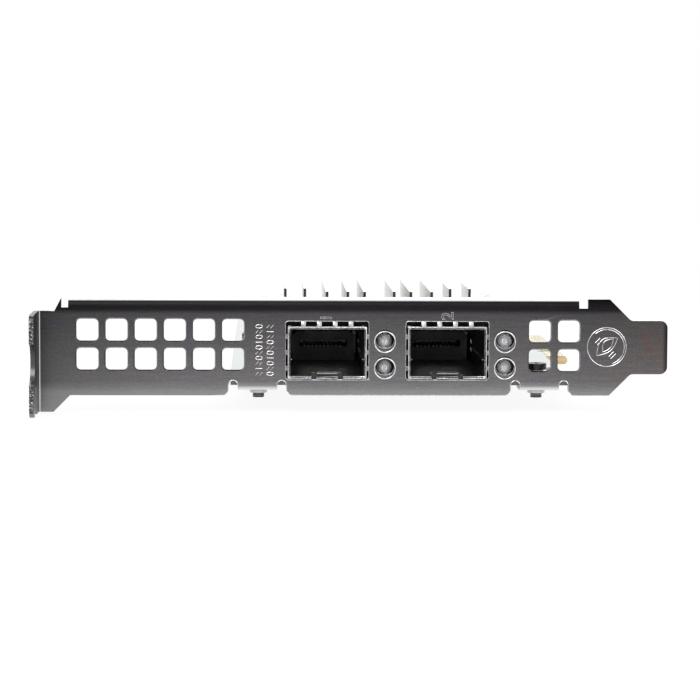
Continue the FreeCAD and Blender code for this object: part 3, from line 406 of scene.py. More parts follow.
def ramp(material, source, *stops):
    """A colour ramp; a stop is (place, colour)."""
    made = put(material, "ValToRGB", {0: source})
    elements = made.color_ramp.elements
    while len(elements) < len(stops):
        elements.new(0.5)
    for element, (place, colour) in zip(elements, stops):
        element.position = place
        element.color = rgba(colour)
    return made.outputs[0]


def blend(material, share, first, second, mode="MIX"):
    """Mix two colours, which are node outputs or plain colours, by a share."""
    made = put(material, "Mix", {0: share, 6: rgba(first), 7: rgba(second)}, data_type="RGBA",
               blend_type=mode)
    return made.outputs[2]


def times(material, first, second):
    return blend(material, 1.0, first, second, "MULTIPLY")


def along(material, axis, low, high, output="Object"):
    """0 to 1 as the place on the piece goes from low to high along an axis."""
    split = put(material, "SeparateXYZ", {0: put(material, "TexCoord").outputs[output]})
    share = put(material, "MapRange", {"Value": split.outputs["XYZ".index(axis)],
                                       "From Min": low, "From Max": high})
    return share.outputs[0]


def facing(material, axis, low, high):
    """0 to 1 as the surface turns towards an axis."""
    return along(material, axis, low, high, "Normal")


def by_facing(material, tone, *rows):
    """Mix in a colour where the surface looks along an axis; a row is (axis, low, high, colour)."""
    for axis, low, high, colour in rows:
        tone = blend(material, facing(material, axis, low, high), tone, colour)
    return tone


def feed(material, socket, source):
    tree = material.node_tree
    tree.links.new(source, tree.nodes["Principled BSDF"].inputs[socket])


def relief(material, source, depth, strength=1.0):
    """Fine bump; depth is in metres."""
    bump = put(material, "Bump", {"Height": source, "Distance": depth, "Strength": strength})
    feed(material, "Normal", bump.outputs[0])


def speckled(name, dark, light, metal, rough, per_mm=0.6, grain=12.0, depth=0.004):
    """A finish with cloudy colour, uneven gloss and a fine grain; most parts start from it."""
    material = paint(name, dark, metal, rough[0])
    tone = cloud(material, per_mm)
    feed(material, "Base Color", ramp(material, tone, (0.3, dark), (0.7, light)))
    wear = cloud(material, 4 * per_mm, detail=6.0)
    feed(material, "Roughness", ramp(material, wear, (0.3, rough[0]), (0.7, rough[1])))
    relief(material, cloud(material, grain, detail=3.0), depth * MM)
    return material


print("finish tools ready")


# %% [markdown]
# ### Bracket steel
#
# The bracket is nickel-plated sheet with a brushed grain along its length, and it has faint
# violet and tan tints. Its colour also holds painted light: painted shade and painted reflection
# make it darkest at the fold along the top and lighter towards the lower edge, and painted
# highlights brighten its lower edge, its feet, the faces that look up or down (away from the tab)
# and the fold beside the tab. Pressing and punching burnish the edges, so they get a brighter
# finish of their own, which is also partly painted highlight.

# %% Bracket finishes
FOOT_CENTRES = mm(41.7, 94.8)
FOOT_EDGE, FOOT_INSIDE = mm(4.8, 3.9)
TONGUE_START, TONGUE_FULL = mm(14, 4)
LOWER_EDGE_START, LOWER_EDGE = mm(15.7, 17.8)


def foot_places(material):
    """1 where the face goes on into a foot, 0 elsewhere along its lower edge."""
    feet = None
    for centre in FOOT_CENTRES:
        foot = times(material, *(along(material, "X", centre + way * FOOT_EDGE,
                                       centre + way * FOOT_INSIDE) for way in (-1, 1)))
        feet = foot if feet is None else blend(material, 1.0, feet, foot, "ADD")
    return feet


def bracket_finish_with_painted_light():
    material = paint("bracket_plating_and_painted_light", (0.14, 0.138, 0.145), 1.0, 0.34)
    grain = cloud(material, (0.2, 5.0, 5.0), detail=8.0, rough=0.75)
    patches = cloud(material, (0.12, 0.3, 0.3), detail=3.0)
    speckle = cloud(material, 3.5, detail=6.0, rough=0.8)
    stains = cloud(material, (0.35, 0.5, 0.5), detail=6.0)
    height = along(material, "Z", bracket_low.z, TOP_EDGE)
    length = along(material, "X", 0, bracket_high.x)
    tongue = along(material, "X", bracket_high.x - TONGUE_START, bracket_high.x - TONGUE_FULL)
    # Painted shade and painted reflection: darkest at the fold along the top, lighter towards the
    # lower edge.
    tone = ramp(material, height, (0.0, (0.22, 0.212, 0.216)), (0.25, (0.175, 0.169, 0.172)),
                (0.55, (0.125, 0.120, 0.123)), (0.86, (0.082, 0.079, 0.082)),
                (0.90, (0.022, 0.020, 0.022)), (1.0, (0.008, 0.007, 0.009)))
    brushed = ramp(material, grain, (0.25, 0.8), (0.5, 0.98), (0.75, 1.2))
    dust = ramp(material, speckle, (0.3, 0.82), (0.5, 1.0), (0.58, 1.05), (0.65, 1.7))
    violet = ramp(material, patches, (0.55, 1.0), (0.75, (0.96, 0.93, 1.09)))
    tan = ramp(material, stains, (0.42, 1.0), (0.62, (1.18, 0.95, 0.86)))
    tan = blend(material, tongue, 1.0, tan)
    sides = ramp(material, length, (0.0, 0.70), (0.2, 0.92), (0.4, 1.0), (0.74, 1.0),
                 (0.86, 0.86), (0.993, 0.84), (0.998, 0.12))
    for layer in (brushed, dust, violet, tan, sides):
        tone = times(material, tone, layer)
    # Painted highlight: a bright band along the lower edge, strongest where the face goes on into a
    # foot.
    glow = ramp(material, along(material, "Z", TOP_EDGE - LOWER_EDGE_START, TOP_EDGE - LOWER_EDGE),
                (0.0, 0.0), (0.5, 0.25), (1.0, 0.8))
    glow = times(material, glow, ramp(material, foot_places(material), (0.0, 0.25), (1.0, 1.0)))
    tone = blend(material, glow, tone, 0.62)
    # Painted light: faces that look up or down, away from the tab, are made much lighter.
    beside_tab = along(material, "X", 1.5 * MM, 3 * MM)
    for low, high, colour in ((0.68, 0.86, (0.88, 0.88, 0.89)), (-0.1, -0.75, (0.8, 0.8, 0.81))):
        painted_flange_light = times(material, facing(material, "Z", low, high), beside_tab)
        tone = blend(material, painted_flange_light, tone, colour)
    # Painted highlight: a bright line in the fold beside the tab.
    painted_fold_highlight = ramp(material, facing(material, "X", 0.0, 1.0), (0.2, 0.0), (0.5, 0.85), (0.85, 0.0))
    painted_fold_highlight = times(material, painted_fold_highlight, along(material, "X", 1.4 * MM, 0.9 * MM))
    feed(material, "Base Color", blend(material, painted_fold_highlight, tone, 0.75))
    feed(material, "Roughness", ramp(material, grain, (0.3, 0.27), (0.7, 0.44)))
    relief(material, grain, 0.008 * MM, 0.6)
    return material


# An edge finish in a given colour: a bright one is partly burnish, partly painted highlight; a dark
# one is painted shade.
def edge_finish_with_painted_light(name="bracket_edge", colour=(0.62, 0.62, 0.64)):
    material = paint(name, colour, 1.0, 0.22)
    grain = cloud(material, 1.5, detail=6.0)
    darker = tuple(0.55 * value for value in colour)
    feed(material, "Base Color", ramp(material, grain, (0.35, darker), (0.62, colour)))
    feed(material, "Roughness", ramp(material, grain, (0.3, 0.18), (0.7, 0.34)))
    relief(material, grain, 0.01 * MM, 0.5)
    return material


def vent_finish():
    """Punched walls with shear marks; their colour is painted light: walls that look down or
    towards -X are light, walls that look up are nearly black.
    """
    material = paint("vent_walls", 0.12, 1.0, 0.4)
    shear = cloud(material, (1.0, 6.0, 1.0), detail=6.0)
    # Painted light and painted shade, set by the way each wall looks.
    side = by_facing(material, (0.09, 0.088, 0.09), ("X", -0.1, -0.6, (0.5, 0.49, 0.5)),
                     ("Z", 0.15, 0.8, (0.015, 0.014, 0.015)),
                     ("Z", -0.15, -0.8, (0.6, 0.6, 0.61)))
    marks = ramp(material, shear, (0.3, 0.7), (0.7, 1.2))
    feed(material, "Base Color", times(material, side, marks))
    feed(material, "Roughness", ramp(material, shear, (0.3, 0.3), (0.7, 0.5)))
    relief(material, shear, 0.02 * MM, 0.6)
    return material


def sheared_finish():
    """The broken edge of the sheet: dark, with bright torn specks."""
    material = paint("sheared_edge", 0.05, 1.0, 0.45)
    tears = cloud(material, (2.2, 2.2, 3.2), detail=5.0, rough=0.75)
    feed(material, "Base Color", ramp(material, tears, (0.36, 0.015), (0.5, 0.07), (0.58, 0.3),
                                      (0.66, 0.85)))
    feed(material, "Roughness", ramp(material, tears, (0.35, 0.35), (0.65, 0.6)))
    relief(material, tears, 0.12 * MM, 0.9)
    return material


BRACKET_PLATING = bracket_finish_with_painted_light()
VENT_WALLS = vent_finish()
SHEARED_EDGE = sheared_finish()
BRACKET_EDGE = edge_finish_with_painted_light()
print("bracket finishes:", BRACKET_PLATING.name, BRACKET_EDGE.name)


# %% [markdown]
# ### Board, contacts and solder
#
# The board is glass laminate: tan where it was cut, and under a glossy green solder mask on both
# faces. Copper runs show faintly through the mask. The finish tells a cut edge from a face by
# the way the surface looks. Near the bracket the cut edge is gray: a painted shadow of the bracket.

# %% Board finish
def board_finish():
    material = paint("board_mask", (0.02, 0.11, 0.05), 0.0, 0.25,
                     {"Coat Weight": 1.0, "Coat IOR": 1.55, "Coat Roughness": 0.1})
    cells = put(material, "TexBrick", {"Vector": stretched(material, (1 / 1.1, 1 / 7, 1)),
                                       "Scale": 1.0,
                                       "Mortar Size": 0.09, "Mortar Smooth": 0.1,
                                       "Brick Width": 0.5, "Row Height": 0.25},
                offset=0.37, squash=1.0)
    pours = ramp(material, cloud(material, 0.09, detail=1.0),
                 (0.48, 0.0), (0.52, 1.0))
    mask = blend(material, pours, (0.012, 0.075, 0.035), (0.02, 0.13, 0.055))
    lines = blend(material, 0.55, cells.outputs["Fac"], pours, "MULTIPLY")
    mask = blend(material, lines, mask, (0.035, 0.19, 0.08))
    glass = ramp(material, cloud(material, (0.4, 0.4, 9.0), detail=4.0),
                 (0.35, (0.42, 0.27, 0.12)), (0.65, (0.62, 0.44, 0.22)))
    # Painted shadow: the cut edge turns gray near the bracket.
    painted_bracket_shadow = along(material, "Y", board_low.y + 2 * MM, board_low.y + 20 * MM)
    glass = blend(material, painted_bracket_shadow, (0.16, 0.15, 0.14), glass)
    up = facing(material, "Z", 0.5, 0.8)
    down = facing(material, "Z", -0.5, -0.8)
    flat = blend(material, 1.0, up, down, "ADD")
    feed(material, "Base Color", blend(material, flat, glass, mask))
    feed(material, "Roughness", ramp(material, flat, (0.0, 0.7), (1.0, 0.1)))
    relief(material, lines, 0.02 * MM, 0.5)
    return material


BOARD_MASK = board_finish()
GOLD = speckled("contact_gold", (0.92, 0.78, 0.50), (0.97, 0.88, 0.64), 1.0, (0.05, 0.12))
TIN = speckled("solder_tin", (0.55, 0.55, 0.56), 0.82, 1.0, (0.2, 0.42),
               per_mm=2.0)
print("board finishes ready")


# %% [markdown]
# ### The other finishes
#
# Cages are tin-plated sheet; inside they get a much darker copy of the tin, painted shade where
# little light reaches. Moulded parts are black with a fine grain, the heatsink is bright
# extruded aluminium whose ends that look to the front are much darker, and the lamps are
# water-clear resin.

# %% Metal finishes
def sawn_aluminium():
    material = paint("sink_aluminium", (0.86, 0.87, 0.88), 1.0, 0.3)
    lines = cloud(material, (4.0, 0.05, 4.0), detail=6.0)
    side = ramp(material, lines, (0.3, (0.62, 0.61, 0.60)), (0.7, (0.82, 0.81, 0.79)))
    # Ends that look to the front are made much darker, with fine marks.
    front_end_tone = ramp(material, cloud(material, (0.4, 3.0, 7.0), detail=5.0),
               (0.3, 0.05), (0.7, 0.14))
    front = facing(material, "Y", -0.6, -0.9)
    feed(material, "Base Color", blend(material, front, side, front_end_tone))
    feed(material, "Roughness", ramp(material, lines, (0.3, 0.22), (0.7, 0.4)))
    relief(material, lines, 0.01 * MM, 0.5)
    return material


def cage_finish(name, colour, darkest, rough):
    material = paint(name, colour, 1.0, rough)
    rolled = cloud(material, (3.0, 0.08, 3.0), detail=7.0)
    spots = cloud(material, 0.7, detail=5.0)
    tone = ramp(material, rolled, (0.3, darkest), (0.7, colour))
    tone = times(material, tone, ramp(material, spots, (0.4, 0.8), (0.6, 1.0)))
    feed(material, "Base Color", tone)
    feed(material, "Roughness", ramp(material, spots, (0.3, rough), (0.7, rough + 0.15)))
    relief(material, rolled, 0.006 * MM, 0.5)
    return material


SINK_METAL = sawn_aluminium()
CAGE_TIN = cage_finish("cage_tin", (0.42, 0.42, 0.43), (0.25, 0.25, 0.26), 0.26)
# Painted shade: a much darker copy of the cage tin, for the inside of the cages.
CAGE_INSIDE_PAINTED_SHADE = cage_finish("cage_inside_painted_shade", (0.07, 0.067, 0.069), (0.03, 0.029, 0.03), 0.3)
# Lip copies: bright for bevels and rims, partly burnish and partly painted highlight; dark for flat
# fronts, painted shade.
LIP_TIN_HIGHLIGHT = edge_finish_with_painted_light("cage_lip", (0.85, 0.85, 0.86))
LIP_SHADE = edge_finish_with_painted_light("cage_lip_flat_painted_shade", (0.10, 0.098, 0.10))
SPRING_TIN = speckled("spring_tin", (0.80, 0.80, 0.81), 0.95, 1.0, (0.15, 0.3),
                      per_mm=2.0)
FINGER_TIN = speckled("finger_tin", (0.30, 0.29, 0.29), (0.85, 0.84, 0.84), 1.0, (0.18, 0.35),
                      per_mm=1.6)
CERAMIC_WHITE = speckled("ceramic_white", (0.66, 0.63, 0.56), (0.80, 0.77, 0.70), 0.0,
                         (0.3, 0.5))
# Painted shade: the contacts deep in the cages are a much darker copy of the gold.
PIN_GOLD_PAINTED_SHADE = speckled("pin_gold", (0.16, 0.14, 0.11), (0.28, 0.25, 0.20), 1.0, (0.3, 0.45))
# Black for pieces that stand in for shade behind the fingers and the latch slots: painted shade.
SHADE_BLACK = speckled("painted_shade_black", (0.010, 0.010, 0.011), (0.022, 0.021, 0.022), 0.0,
                  (0.6, 0.8), grain=7.0, depth=0.02)
SPRING_WIRE = speckled("spring_wire", (0.32, 0.32, 0.33), 0.5, 1.0, (0.2, 0.34))
SCREW_BLACK = speckled("screw_black", (0.018, 0.017, 0.018), (0.06, 0.055, 0.055), 1.0,
                       (0.25, 0.45), per_mm=1.5)
SCREW_ZINC = speckled("screw_zinc", (0.16, 0.16, 0.17), (0.34, 0.34, 0.36), 1.0, (0.28, 0.45),
                      per_mm=1.5)
CAN_METAL = speckled("can_aluminium", (0.68, 0.68, 0.69), (0.85, 0.85, 0.86), 1.0, (0.22, 0.36))
LID_METAL = speckled("lid_metal", (0.52, 0.50, 0.44), (0.72, 0.70, 0.62), 1.0, (0.2, 0.34))
print("metals ready")


# %% Moulded, ceramic and clear finishes
def clear_resin():
    material = paint("lamp_resin", (0.95, 0.95, 0.94), 0.0, 0.06,
                     {"Transmission Weight": 0.3, "IOR": 1.5})
    haze = cloud(material, 1.2, detail=3.0)
    feed(material, "Base Color", ramp(material, haze, (0.3, (0.70, 0.69, 0.71)),
                                      (0.7, (0.86, 0.85, 0.87))))
    feed(material, "Roughness", ramp(material, haze, (0.3, 0.12), (0.7, 0.25)))
    return material


CLEAR_RESIN = clear_resin()
BLACK_MOULD = speckled("black_moulding", (0.012, 0.012, 0.013), (0.03, 0.03, 0.032), 0.0,
                       (0.42, 0.6), grain=9.0, depth=0.01)
CHIP_MOULD = speckled("chip_epoxy", (0.016, 0.016, 0.018), (0.035, 0.035, 0.038), 0.0,
                      (0.5, 0.68), grain=14.0, depth=0.006)
CHIP_LID = speckled("chip_lid_metal", (0.45, 0.45, 0.46), (0.62, 0.62, 0.63), 1.0, (0.28, 0.42))
CHIP_BASE = speckled("chip_laminate", (0.02, 0.10, 0.05), (0.03, 0.15, 0.07), 0.0, (0.25, 0.4))
PAD_PUTTY = speckled("pad_silicone", (0.38, 0.43, 0.47), (0.50, 0.55, 0.60), 0.0, (0.6, 0.8))
FERRITE = speckled("ferrite", (0.06, 0.06, 0.062), (0.12, 0.12, 0.122), 0.0, (0.55, 0.75),
                   grain=6.0, depth=0.02)
TANTALUM_RESIN = speckled("tantalum_resin", (0.62, 0.34, 0.07), (0.78, 0.46, 0.12), 0.0,
                          (0.35, 0.5))
CERAMIC_TAN = speckled("ceramic_tan", (0.30, 0.20, 0.11), (0.42, 0.30, 0.18), 0.0, (0.4, 0.6))
CERAMIC_DARK = speckled("ceramic_dark", (0.06, 0.045, 0.035), (0.10, 0.08, 0.06), 0.0,
                        (0.45, 0.65))
RESISTOR_FILM = speckled("resistor_film", (0.012, 0.012, 0.014), (0.03, 0.03, 0.034), 0.0,
                         (0.25, 0.4))
SILK_WHITE = speckled("print_white", (0.70, 0.71, 0.70), (0.82, 0.83, 0.82), 0.0, (0.5, 0.7))
print("mouldings ready")


# %% [markdown]
# ## Bracket
#
# The bracket is punched and folded from one sheet. Its copy keeps every size of the CAD part.
# The vents of the CAD part have clipped corners, so the two edges of each clip are bevelled
# until they meet in a round corner. Then all sharp edges are bevelled a little, as tumbling
# leaves them. The rims of the lamp holes and of the lower edge get the bright edge finish,
# partly burnish and partly painted highlight.

# %% Select edges by a rule
def bevel_edges(piece, rule, width, segments, rim=0, clamp=True):
    """Bevel the edges for which rule(first vertex, second vertex, angle) is true."""
    def wanted(edge):
        return len(edge.link_faces) == 2 and rule(
            edge.verts[0].co, edge.verts[1].co, math.degrees(edge.calc_face_angle(0)))

    with editing(piece, "DESELECT", "EDGE"):
        found = select_where(piece, "edges", wanted)
        if found:
            bpy.ops.mesh.bevel(offset=width, segments=segments, affect="EDGES", material=rim,
                               clamp_overlap=clamp)
    print(piece.name, "edges bevelled:", found)


def through_sheet(first, second):
    """True for an edge that runs straight through the bracket's face sheet."""
    return (abs(first.x - second.x) < 0.01 * MM and abs(first.z - second.z) < 0.01 * MM
            and min(first.y, second.y) > FACE - 0.1 * MM
            and max(first.y, second.y) < FACE + SHEET + 0.1 * MM)


print("edge rules ready")

# %% Bracket's plate
ports = [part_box("cage_one"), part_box("cage_two")]
VENT_CLIP = 0.43 * MM
LAMPS = ["lamp_one_upper", "lamp_one_lower", "lamp_two_upper", "lamp_two_lower"]
lamp_centres = [(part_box(lamp)[0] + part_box(lamp)[1]) / 2 for lamp in LAMPS]


VENTS_END, VENTS_START = ports[0][0].x - 7 * MM, ports[1][1].x + 6 * MM
VENTS_LOW, VENTS_HIGH = mm(3.5, 14.6)
LOWER_BAND, TAB_END, LAMP_HOLE = mm(2.6, 8, 2.2)


def by_vents(place, start=6 * MM, end=16.5 * MM):
    """True beside the ports at the vents' height, start and end away from X 0 and the tip."""
    beside = place.x < VENTS_END or place.x > VENTS_START
    inside = start < place.x < bracket_high.x - end
    return beside and inside and VENTS_LOW < place.z < VENTS_HIGH


def at_vents(first, second, angle):
    return through_sheet(first, second) and by_vents(first, -1 * MM, 14 * MM) and 40 < angle < 50


def on_front(first, second):
    return abs(first.y - FACE) + abs(second.y - FACE) < 0.02 * MM


def at_vent_rims(first, second, angle):
    return on_front(first, second) and by_vents(first) and angle > 60


def at_lower_rim(first, second, angle):
    low = max(first.z, second.z) < LOWER_BAND and min(first.x, second.x) > TAB_END
    return on_front(first, second) and low and angle > 60


def at_lamp_rims(first, second, angle):
    near = any(math.hypot(first.x - lamp.x, first.z - lamp.z) < LAMP_HOLE
               for lamp in lamp_centres)
    return on_front(first, second) and near and angle > 60


bracket = copy_of("bracket", "bracket_plate")
coat(bracket, BRACKET_PLATING, BRACKET_EDGE, VENT_WALLS, SHEARED_EDGE)
bevel_edges(bracket, at_vents, VENT_CLIP, 3)
# Painted highlight, partly burnish: the lamp-hole rims and the lower rim get the bright edge
# finish.
bevel_edges(bracket, at_lamp_rims, 0.12 * MM, 1, rim=1)
bevel_edges(bracket, at_vent_rims, 0.13 * MM, 2)
bevel_edges(bracket, at_lower_rim, 0.17 * MM, 2, rim=1, clamp=False)
bevel(bracket, 0.08 * MM, segments=1, angle=35, rim=0, clamp=True)
for face in bracket.data.polygons:
    if by_vents(face.center) and abs(face.normal.y) < 0.97:
        face.material_index = 2
    elif face.center.y < bracket_low.y + 0.12 * MM:
        face.material_index = 3
smooth(bracket, 24, weighted=True)
ready(bracket, "bracket_steel")


# %% [markdown]
# ### Stamped marks
#
# The punch leaves raised outlines: a numeral for each port, two columns of plain pips and a
# round emblem. A thin tube along each outline catches the light as a stamped edge does. Text
# and curves are made meshes, and then their place is applied to them.

# %% Outlines as thin tubes
STROKE = 0.075 * MM


def as_mesh(piece):
    only(piece)
    bpy.ops.object.convert(target="MESH")
    only(piece)
    bpy.ops.object.transform_apply(location=True, rotation=True, scale=True)
    return piece


def gather(name, parts):
    """Join parts into one named piece."""
    bpy.ops.object.select_all(action="DESELECT")
    for part in parts:
        part.select_set(True)
    bpy.context.view_layer.objects.active = parts[0]
    if len(parts) > 1:
        bpy.ops.object.join()
    parts[0].name = name
    parts[0].data.name = name
    return parts[0]


def assemble(name, parts, angle, slot, *materials):
    """Join parts, smooth the piece below an angle and finish it."""
    piece = gather(name, parts)
    smooth(piece, angle)
    return ready(piece, slot, *materials)


def numeral(text, x, z, size):
    """A digit that lies on the bracket's face and reads from below upwards."""
    bpy.ops.object.select_all(action="DESELECT")
    bpy.ops.object.text_add()
    piece = bpy.context.object
    piece.data.body = text
    piece.data.size = size
    piece.data.align_x = "CENTER"
    piece.data.align_y = "CENTER"
    piece.data.fill_mode = "NONE"
    piece.data.bevel_depth = STROKE
    piece.data.bevel_resolution = 1
    piece.data.resolution_u = 4
    turn = Matrix.Rotation(math.radians(-90), 4, "Y") @ Matrix.Rotation(math.radians(90), 4, "X")
    piece.matrix_world = Matrix.Translation((x, FACE, z)) @ turn
    return as_mesh(piece)


def stroke(points, closed=False, level=FACE, radius=STROKE):
    """A tube through points (x, z) on the bracket's face, or on another upright level."""
    curve = bpy.data.curves.new("stroke", "CURVE")
    curve.dimensions = "3D"
    curve.bevel_depth = radius
    curve.bevel_resolution = 1
    curve.use_fill_caps = True
    line = curve.splines.new("POLY")
    line.points.add(len(points) - 1)
    for point, (x, z) in zip(line.points, points):
        point.co = (x, level, z, 1)
    line.use_cyclic_u = closed
    piece = bpy.data.objects.new("stroke", curve)
    scene.collection.objects.link(piece)
    return as_mesh(piece)


def arc(x, z, radius, start, end, steps, squeeze=1.0):
    angles = [math.radians(start + (end - start) * step / steps) for step in range(steps + 1)]
    return [(x + radius * math.cos(a) * squeeze, z + radius * math.sin(a)) for a in angles]


def ring(centre, radius, wire, lean=0, around=48, across=10):
    """A wire ring that lies flat, or leans by an angle about X."""
    bpy.ops.object.select_all(action="DESELECT")
    bpy.ops.mesh.primitive_torus_add(
        major_radius=radius, minor_radius=wire, major_segments=around, minor_segments=across,
        rotation=(math.radians(lean), 0, 0), location=centre)
    return as_mesh(bpy.context.object)


print("stroke radius", STROKE)

# %% Numerals, pips and emblem
port_middles = [(low.x + high.x) / 2 for low, high in ports]
marks = [numeral("1", port_middles[0] - 0.1 * MM, 14.25 * MM, 3.1 * MM),
         numeral("2", port_middles[1] + 0.1 * MM, 14.65 * MM, 3.2 * MM)]
PIP_COLUMNS, PIP_ROWS, FIRST_PIP = mm(41.6, 43.7), 10, 3.6 * MM
PIP_HALF, PIP_RADIUS = mm(0.65, 0.33)
for column, x in enumerate(PIP_COLUMNS):
    for row in range(PIP_ROWS):
        z = FIRST_PIP + row * MM
        if (row * 2 + column) % 5 == 2:
            marks.append(stroke([(x - PIP_HALF, z), (x + PIP_HALF, z)]))
        elif (row + column) % 2:
            marks.append(stroke(arc(x, z, PIP_RADIUS, 0, 330, 8, 2.0), True))
        else:
            marks.append(stroke([(x - PIP_HALF, z - 0.28 * MM), (x - 0.1 * MM, z + 0.3 * MM),
                                 (x + 0.1 * MM, z - 0.3 * MM), (x + PIP_HALF, z + 0.28 * MM)]))
emblem_x, emblem_z, emblem_radius = mm(107.6, 8.8, 3.7)
marks.append(stroke(arc(emblem_x, emblem_z, emblem_radius, 0, 352.5, 47), True))
marks.append(stroke(arc(emblem_x, emblem_z, 0.9 * emblem_radius, -70, 130, 28)))
LEAF_WIDTH = 0.42
leaf = [(step / 8, 0.75 * math.sin(math.pi * step / 8)) for step in range(9)]
leaf += [(step / 8, -0.45 * math.sin(math.pi * step / 8)) for step in range(7, 0, -1)]
for reach, lean, size in ((-2.5, 40, 5.2), (-1.2, 52, 3.2)):
    across, up = math.cos(math.radians(lean)), math.sin(math.radians(lean))
    places = [((reach + size * u) * MM, LEAF_WIDTH * size * v * MM) for u, v in leaf]
    marks.append(stroke([(emblem_x + u * across - v * up, emblem_z + u * up + v * across)
                         for u, v in places], True))
for offset in (-1.5, -1.1, 1.1, 1.5):
    marks.append(stroke([(emblem_x + (offset - 0.7) * MM, emblem_z - (offset + 0.7) * MM),
                         (emblem_x + (offset + 0.2) * MM, emblem_z - (offset - 0.2) * MM)]))
print("marks:", len(marks))


# %% Rims of the openings
def rounded(x0, z0, x1, z1, corner):
    """The points of a rectangle with round corners."""
    line = []
    for x, z, start in ((x1, z1, 0), (x0, z1, 90), (x0, z0, 180), (x1, z0, 270)):
        middle_x = x - corner if x == x1 else x + corner
        middle_z = z - corner if z == z1 else z + corner
        line += arc(middle_x, middle_z, corner, start, start + 90, 4)
    return line


PORT_RIM, PORT_BOTTOM, PORT_TOP, PORT_CORNER = mm(0.6, 15.37, 4.27, 0.5)
rims = [stroke(rounded(low.x - PORT_RIM, TOP_EDGE - PORT_BOTTOM, high.x + PORT_RIM,
                       TOP_EDGE - PORT_TOP, PORT_CORNER), True) for low, high in ports]
NOTCH_RADIUS, FLARE, FLARE_DROP = mm(0.89, 1.2, 0.75)
notch_z = board_low.z + 0.14 * MM
for x, outer in ((36.7, -1), (45.9, 1), (90.25, -1), (99.45, 1)):
    line = arc(x * MM, notch_z, NOTCH_RADIUS, 0, 180, 10)
    if outer > 0:
        line.reverse()
    side = line[-1][0]
    line += [(side, notch_z - 0.7 * MM)]
    line += arc(side + outer * FLARE, notch_z - FLARE_DROP, FLARE,
                180 if outer > 0 else 0, 235 if outer > 0 else -55, 4)
    rims.append(stroke(line))
LAMP_RIM, RIM_WIRE = mm(1.98, 0.13)
for centre in lamp_centres:
    rims.append(ring((centre.x, FACE, centre.z), LAMP_RIM, RIM_WIRE, 90))
# Bright stamped outlines and opening rims: partly burnish, partly painted highlight.
MARK_EDGE = edge_finish_with_painted_light("stamped_edge", (0.66, 0.65, 0.66))
assemble("stamped_marks", marks, 50, "bracket_steel", MARK_EDGE)
assemble("opening_rims", rims, 60, "bracket_steel", LIP_TIN_HIGHLIGHT)

# %% Burrs that the punch left behind the vents
VENT, VENT_PITCH, VENT_CORNER, BURR = mm(4.62, 5.5, 1.05, 0.29)
burrs = []
for (left, drop), columns in ((mm(6.86, 3.73), 6), (mm(92.6, 3.88), 2)):
    for column in range(columns):
        for row in range(2):
            x, z = left + column * VENT_PITCH, TOP_EDGE - drop - row * VENT_PITCH
            burrs.append(stroke(rounded(x, z - VENT, x + VENT, z, VENT_CORNER), True,
                                FACE + SHEET - 0.1 * MM, BURR))
assemble("vent_burrs", burrs, 60, "bracket_steel", VENT_WALLS)


# %% A box and a rod to start a piece from
def block(name, centre, size):
    """A box placed by its centre; it is always bevelled or shaped further."""
    bpy.ops.object.select_all(action="DESELECT")
    bpy.ops.mesh.primitive_cube_add(size=1, location=centre)
    piece = bpy.context.object
    piece.name = name
    piece.scale = size
    bpy.ops.object.transform_apply(location=True, rotation=True, scale=True)
    return piece


def soft_block(name, centre, size, width, segments, *materials):
    """A box with rounded edges and its materials."""
    piece = block(name, centre, size)
    bevel(piece, width, segments)
    return coat(piece, *materials)


def rod(name, start, length, radius, axis, sides=32):
    """A cylinder that starts at a point and runs along +Y or +Z."""
    bpy.ops.object.select_all(action="DESELECT")
    centre = Vector(start) + Vector((0, length / 2, 0) if axis == "Y" else (0, 0, length / 2))
    turn = (math.radians(90), 0, 0) if axis == "Y" else (0, 0, 0)
    bpy.ops.mesh.primitive_cylinder_add(vertices=sides, radius=radius, depth=length,
                                        location=centre, rotation=turn)
    piece = bpy.context.object
    piece.name = name
    bpy.ops.object.transform_apply(location=True, rotation=True, scale=True)
    return piece


print("starting shapes ready")


# %% [markdown]
# ## Port cages
#
# Each cage is a box of thin tinned sheet. Its inside gets painted shade, a much darker copy of
# the tin, and its lips get painted light: bright on their bevels as painted highlight and dark on
# their flat fronts as painted shade. So the faces are sorted by where they look: those that look
# at the middle of the cage get the painted shade, and those near the mouth get the lip finish.

# %% The two slots beside the latch
LEGS = 2.3 * MM


def latch_notches(piece, node):
    """Cut the lower lip of a cage or its finger band on both sides of the latch."""
    low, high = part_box(node)
    middle = (low.x + high.x) / 2
    for side in (-1, 1):
        cutter = block("cutter", (middle + side * 2.52 * MM, low.y, low.z + LEGS),
                       mm(0.95, 3.0, 1.3))
        work = piece.modifiers.new("notch", "BOOLEAN")
        work.operation = "DIFFERENCE"
        work.solver = "EXACT"
        work.object = cutter
        apply_all(piece)
        bpy.data.objects.remove(cutter)


print("notch cutter ready")

